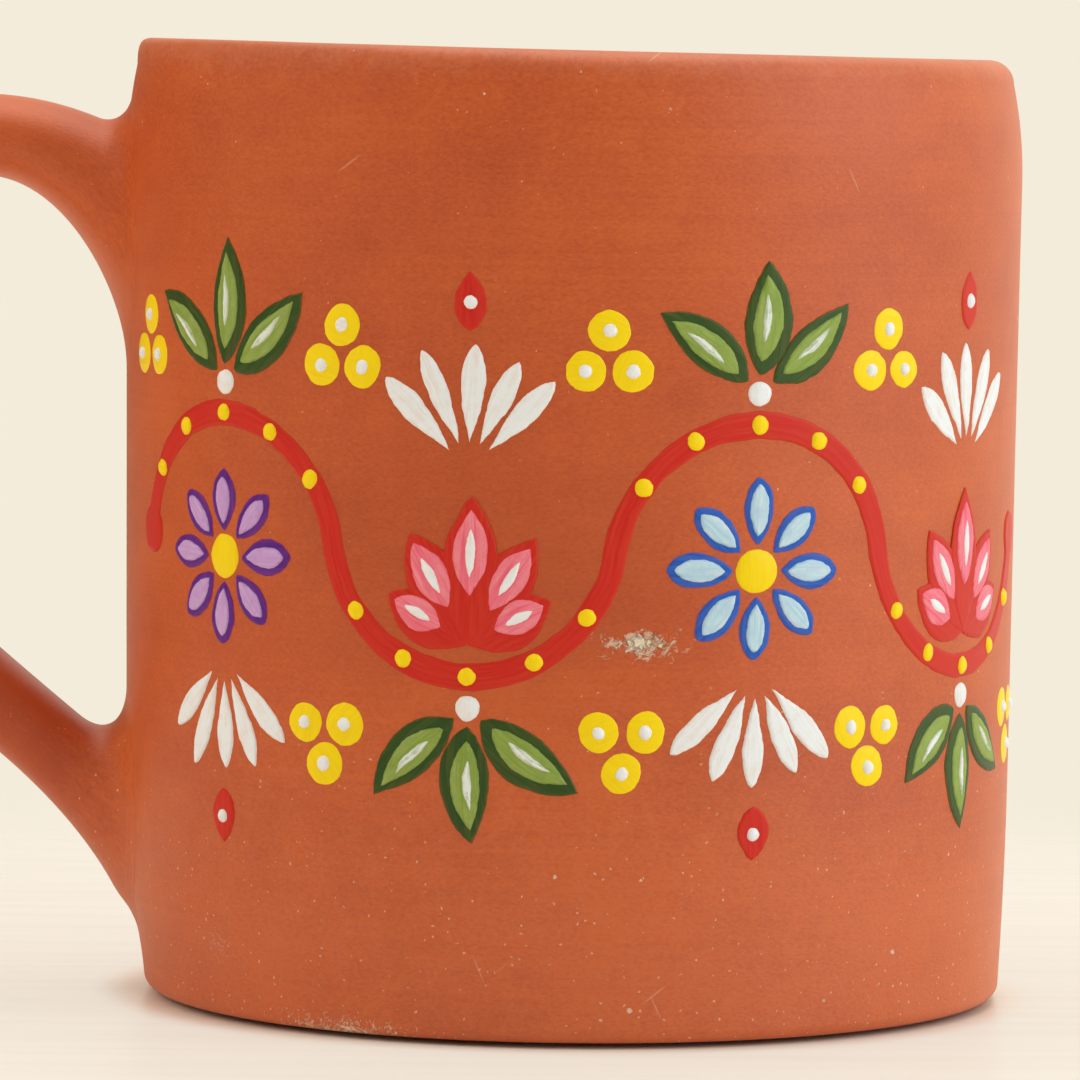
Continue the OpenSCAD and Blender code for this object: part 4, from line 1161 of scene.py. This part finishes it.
# Each paint: its tint, the tint of its streaks and what shows below it, then gloss, streaks and thinness
PAINTS = {
    # Naphthol red, satin and nearly even, a little darker where it is thin
    "Red acrylic": ("red", "red_light", "clay_deep", 0.42, 0.5, 0.12),
    # Cadmium yellow hue, thick, smooth and bright
    "Yellow acrylic": ("yellow", "yellow_deep", "yellow_deep", 0.38, 0.4, 0.1),
    # Sap green, satin, ragged where the loaded brush lifted
    "Dark green acrylic": ("green", "green_light", "clay_deep", 0.42, 0.5, 0.06),
    # Green with white, brushed while wet, so that its streaks are pale
    "Lime acrylic": ("lime", "lime_light", "green_light", 0.44, 0.8, 0.25),
    # Titanium white in one satin coat, warmed where the clay shows through
    "White acrylic": ("white", "white", "white_thin", 0.4, 0.0, 0.5),
    # The same white dragged dry over the leaves, so that green shows between its bristle marks
    "Thin white acrylic": ("white", "lime_light", "lime", 0.42, 0.5, 0.8),
    # Dioxazine violet, satin, dark and even
    "Violet acrylic": ("violet", "violet_light", "clay_deep", 0.42, 0.5, 0.06),
    # Violet with white, satin and streaked
    "Lilac acrylic": ("lilac", "lilac_light", "violet_light", 0.44, 0.8, 0.25),
    # Cobalt blue, satin, dark and even
    "Blue acrylic": ("blue", "blue_light", "clay_deep", 0.42, 0.5, 0.06),
    # Blue with much white, satin and streaked
    "Sky acrylic": ("sky", "sky_light", "blue_light", 0.44, 0.9, 0.25),
    # Red with white, satin and streaked
    "Pink acrylic": ("pink", "pink_light", "red_light", 0.44, 0.8, 0.25),
}


def acrylic(name, tints):
    """Acrylic craft paint laid on by brush.

    It is satin, with bristle streaks along each stroke. What lies below shows at its edge and where it is
    thin.
    """
    made = bpy.data.materials.get(name)
    if made:
        return made
    *hues, gloss, streaks, thinness = PAINTS[name]
    tint, streak_tint, below = [getattr(tints, hue) for hue in hues]
    material, add = new_material(name)
    bristle, stroke, drift, patch, edge_w = 0.26, 6, 11, 1.4, 0.2
    brush = add("ShaderNodeAttribute", attribute_name="brush", attribute_type="GEOMETRY").outputs["Vector"]
    mm = add(VECTOR, add("ShaderNodeTexCoord").outputs["Object"], at={"Scale": 1 / MM}, operation="SCALE")
    parts = add("ShaderNodeSeparateXYZ", brush).outputs
    drifted = add(VECTOR, mm, (1 / drift, 0, 1 / drift), operation="DOT_PRODUCT")
    drifted = drifted.outputs["Value"]
    across = add(MATH, parts["X"], 1 / bristle, operation="MULTIPLY")
    along = add(MATH, parts["Y"], 1 / stroke, operation="MULTIPLY")
    bristles_at = add("ShaderNodeCombineXYZ", across, along, drifted)
    bristles = add(NOISE, bristles_at, at={"Scale": 1.0, "Detail": 2.0})
    share = add(RANGE, bristles, 0.34, 0.7, 0.0, streaks)
    body = add(MIX, share, at={6: tint, 7: streak_tint}, data_type="RGBA").outputs[2]
    patches = add(NOISE, mm, at={"Scale": 1 / patch, "Detail": 3.0, "Roughness": 0.7})
    edge = add(MATH, patches, 2 * edge_w, parts["Z"], operation="MULTIPLY_ADD")
    edge = add(RANGE, edge, 0.7 * edge_w, 1.9 * edge_w, 0.5, 0.0)
    dry = add(MATH, bristles, patches, operation="ADD")
    dry = add(MATH, dry, 0.5, operation="MULTIPLY")
    dry = add(RANGE, dry, 0.47, 0.62, 0.0, thinness)
    thin = add(MATH, edge, dry, operation="MAXIMUM")
    body = add(MIX, thin, at={6: body, 7: below}, data_type="RGBA").outputs[2]
    rough = add(RANGE, bristles, 0.3, 0.7, gloss - 0.06, gloss + 0.1)
    bump = add("ShaderNodeBump", at={"Strength": 0.8, "Distance": 0.03 * MM, "Height": bristles})
    shader = add("ShaderNodeBsdfPrincipled", at={
        "Base Color": body, "Roughness": rough, "IOR": 1.47, "Specular IOR Level": 0.26, "Normal": bump})
    add("ShaderNodeOutputMaterial", shader)
    return material


def white_table(tints):
    """White board, lacquered by brush: pale and softly mirroring, with faint marks along the brush's path.

    To the eye it is evenly lit but for a soft shade close to the foot, and fades into the backdrop.
    """
    material, add = new_material("White lacquered board")
    foot, clear_of_foot, near, far = 39 * MM, 44 * MM, 95 * MM, 190 * MM
    brush_run, bristle, glow = 60 * MM, 3.2 * MM, 0.66
    place = add("ShaderNodeTexCoord").outputs["Object"]
    marks_at = add(VECTOR, place, (1 / brush_run, 1 / bristle, 0), operation="MULTIPLY")
    marks = add(NOISE, marks_at, at={"Scale": 1.0, "Detail": 3.0, "Roughness": 0.6})
    marks = add(RANGE, marks, 0.42, 0.72, 0.0, 0.25)
    lacquer = add(MIX, marks, at={6: tints.table, 7: tints.table_streak}, data_type="RGBA").outputs[2]
    board = add("ShaderNodeBsdfPrincipled", at={
        "Base Color": lacquer, "Roughness": 0.3, "IOR": 1.45, "Specular IOR Level": 0.2})
    seen = add("ShaderNodeLightPath").outputs["Is Camera Ray"]
    away = add(VECTOR, place, operation="LENGTH").outputs["Value"]
    clear = add(RANGE, away, foot, clear_of_foot, 0.0, glow, interpolation_type="SMOOTHSTEP")
    lit = add(MATH, seen, clear, operation="MULTIPLY")
    pale = add("ShaderNodeMixShader", lit, board, add("ShaderNodeEmission", lacquer, 1.0))
    fade = add(RANGE, away, near, far, interpolation_type="SMOOTHSTEP")
    fade = add(MATH, fade, seen, operation="MULTIPLY")
    mixed = add("ShaderNodeMixShader", fade, pale, add("ShaderNodeBsdfTransparent"))
    add("ShaderNodeOutputMaterial", mixed)
    return material


# Stage

# The camera, fitted to the outlines of the mug in the photo
CAMERA_PLACE = Vector((0, -660, 86.12)) * MM
CAMERA_AIM = Vector((-2.728, 0, 41.267)) * MM
CAMERA_ROLL = math.radians(0.711)
CAMERA_LENS = 240.16
TABLE_R = 0.6
# Depth of the table below the flat foot, so that the foot's edge shows a dark gap
TABLE_DROP = 0.3 * MM
# Name, place, size, power and colour of each soft lamp, and whether reflections show it
LAMPS = [
    ("window", (0.85, -0.3, 0.42), 0.9, 4.45, "#eefaff", True),
    ("fill", (-0.85, -0.05, 0.55), 0.8, 3.0, "#ffeeda", False),
    ("ceiling", (0.0, 0.15, 1.0), 0.9, 5.8, "#fff6e8", True),
]
LAMP_AIM = Vector((0, 0, 0.04))
AMBIENT = 0.62
AMBIENT_TINT = "#fff7ea"
# How bright the room looks in a reflection, on its dim side and on the bright side that this way points to
ROOM_DIM, ROOM_BRIGHT = 0.04, 1.5
ROOM_WAY = (0.82, 0.48, 0.35)


def aim_camera():
    data = bpy.data.cameras.new("photo_camera")
    data.lens, data.sensor_width = CAMERA_LENS, 36
    data.clip_start, data.clip_end = 0.01, 20
    camera = bpy.data.objects.new("photo_camera", data)
    look = (CAMERA_AIM - CAMERA_PLACE).to_track_quat("-Z", "Y").to_matrix().to_4x4()
    camera.matrix_world = Matrix.Translation(CAMERA_PLACE) @ look @ Matrix.Rotation(CAMERA_ROLL, 4, "Z")
    bpy.context.scene.collection.objects.link(camera)
    bpy.context.scene.camera = camera


def hang_lamps():
    for name, place, size, power, tint, mirrored in LAMPS:
        data = bpy.data.lights.new(name, "AREA")
        data.size, data.energy, data.color = size, power, linear(tint)[:3]
        lamp = bpy.data.objects.new(name, data)
        lamp.location, lamp.visible_glossy = place, mirrored
        lamp.rotation_euler = (LAMP_AIM - lamp.location).to_track_quat("-Z", "Y").to_euler()
        bpy.context.scene.collection.objects.link(lamp)


def paint_world(tints):
    """A cream wall to the eye, a room with a bright and a dim side in reflections, and soft light on all."""
    world = bpy.data.worlds.new("Cream studio")
    world.use_nodes = True
    world.node_tree.nodes.clear()
    add = partial(add_node, world.node_tree)
    path = add("ShaderNodeLightPath").outputs
    mirrored = add(MATH, path["Is Glossy Ray"], path["Is Transmission Ray"], operation="MAXIMUM")
    seen = add(MATH, path["Is Camera Ray"], mirrored, operation="MAXIMUM")
    way = add(VECTOR, add("ShaderNodeTexCoord").outputs["Generated"], ROOM_WAY,
              operation="DOT_PRODUCT").outputs["Value"]
    room = add(RANGE, way, 0.0, 0.8, ROOM_DIM, ROOM_BRIGHT)
    bright = add(MIX, path["Is Camera Ray"], at={2: room, 3: 1.0}, data_type="FLOAT")
    light = add("ShaderNodeBackground", linear(AMBIENT_TINT), AMBIENT)
    wall = add("ShaderNodeBackground", tints.backdrop, bright)
    add("ShaderNodeOutputWorld", add("ShaderNodeMixShader", seen, light, wall))
    bpy.context.scene.world = world


class MUG_OT_set_stage(bpy.types.Operator):
    """Sets the table, the cream backdrop, the soft lamps and the camera"""
    bl_idname = "mug.set_stage"
    bl_label = "Set the stage"

    def execute(self, context):
        tints = context.scene.mug_colours
        turns = np.linspace(0, 2 * math.pi, num=96, endpoint=False)
        rim = [(TABLE_R * math.cos(a), TABLE_R * math.sin(a), -TABLE_DROP) for a in turns]
        table = new_piece("table_top", new_mesh("table_top", rim, [tuple(range(len(rim)))]))
        table.data.materials.append(white_table(tints))
        aim_camera()
        hang_lamps()
        paint_world(tints)
        context.scene.view_settings.view_transform = "Standard"
        return {"FINISHED"}


class MUG_PT_workshop(bpy.types.Panel):
    """Lists the steps that make the mug, and its sizes and colours"""
    bl_idname = "MUG_PT_workshop"
    bl_label = "Clay mug"
    bl_space_type = "VIEW_3D"
    bl_region_type = "UI"
    bl_category = "Clay mug"

    def draw(self, context):
        for step in STEPS:
            self.layout.operator(step.bl_idname)
        for group in GROUPS:
            box = self.layout.box()
            settings = getattr(context.scene, group)
            for name in settings.__annotations__:
                box.prop(settings, name)


GROUPS = {"mug_cup": CupSizes, "mug_handle": HandleSizes, "mug_paint": PaintSizes, "mug_colours": Colours}
STEPS = [
    MUG_OT_set_stage, MUG_OT_throw_cup, MUG_OT_pull_handle, MUG_OT_spread_slip, MUG_OT_paint_vine,
    MUG_OT_paint_leaves, MUG_OT_paint_daisies, MUG_OT_paint_lotuses, MUG_OT_paint_berries,
    MUG_OT_paint_strokes, MUG_OT_paint_buds,
]


def register():
    for kind in [*GROUPS.values(), *STEPS, MUG_PT_workshop]:
        bpy.utils.register_class(kind)
    for name, kind in GROUPS.items():
        setattr(bpy.types.Scene, name, PointerProperty(type=kind))


def unregister():
    for name in GROUPS:
        delattr(bpy.types.Scene, name)
    for kind in reversed([*GROUPS.values(), *STEPS, MUG_PT_workshop]):
        bpy.utils.unregister_class(kind)


def main():
    register()
    bpy.ops.mug.set_stage()
    bpy.ops.mug.throw_cup()
    bpy.ops.mug.pull_handle()
    bpy.ops.mug.spread_slip()
    bpy.ops.mug.paint_vine()
    bpy.ops.mug.paint_leaves()
    bpy.ops.mug.paint_daisies()
    bpy.ops.mug.paint_lotuses()
    bpy.ops.mug.paint_berries()
    bpy.ops.mug.paint_strokes()
    bpy.ops.mug.paint_buds()


if __name__ == "__main__":
    main()
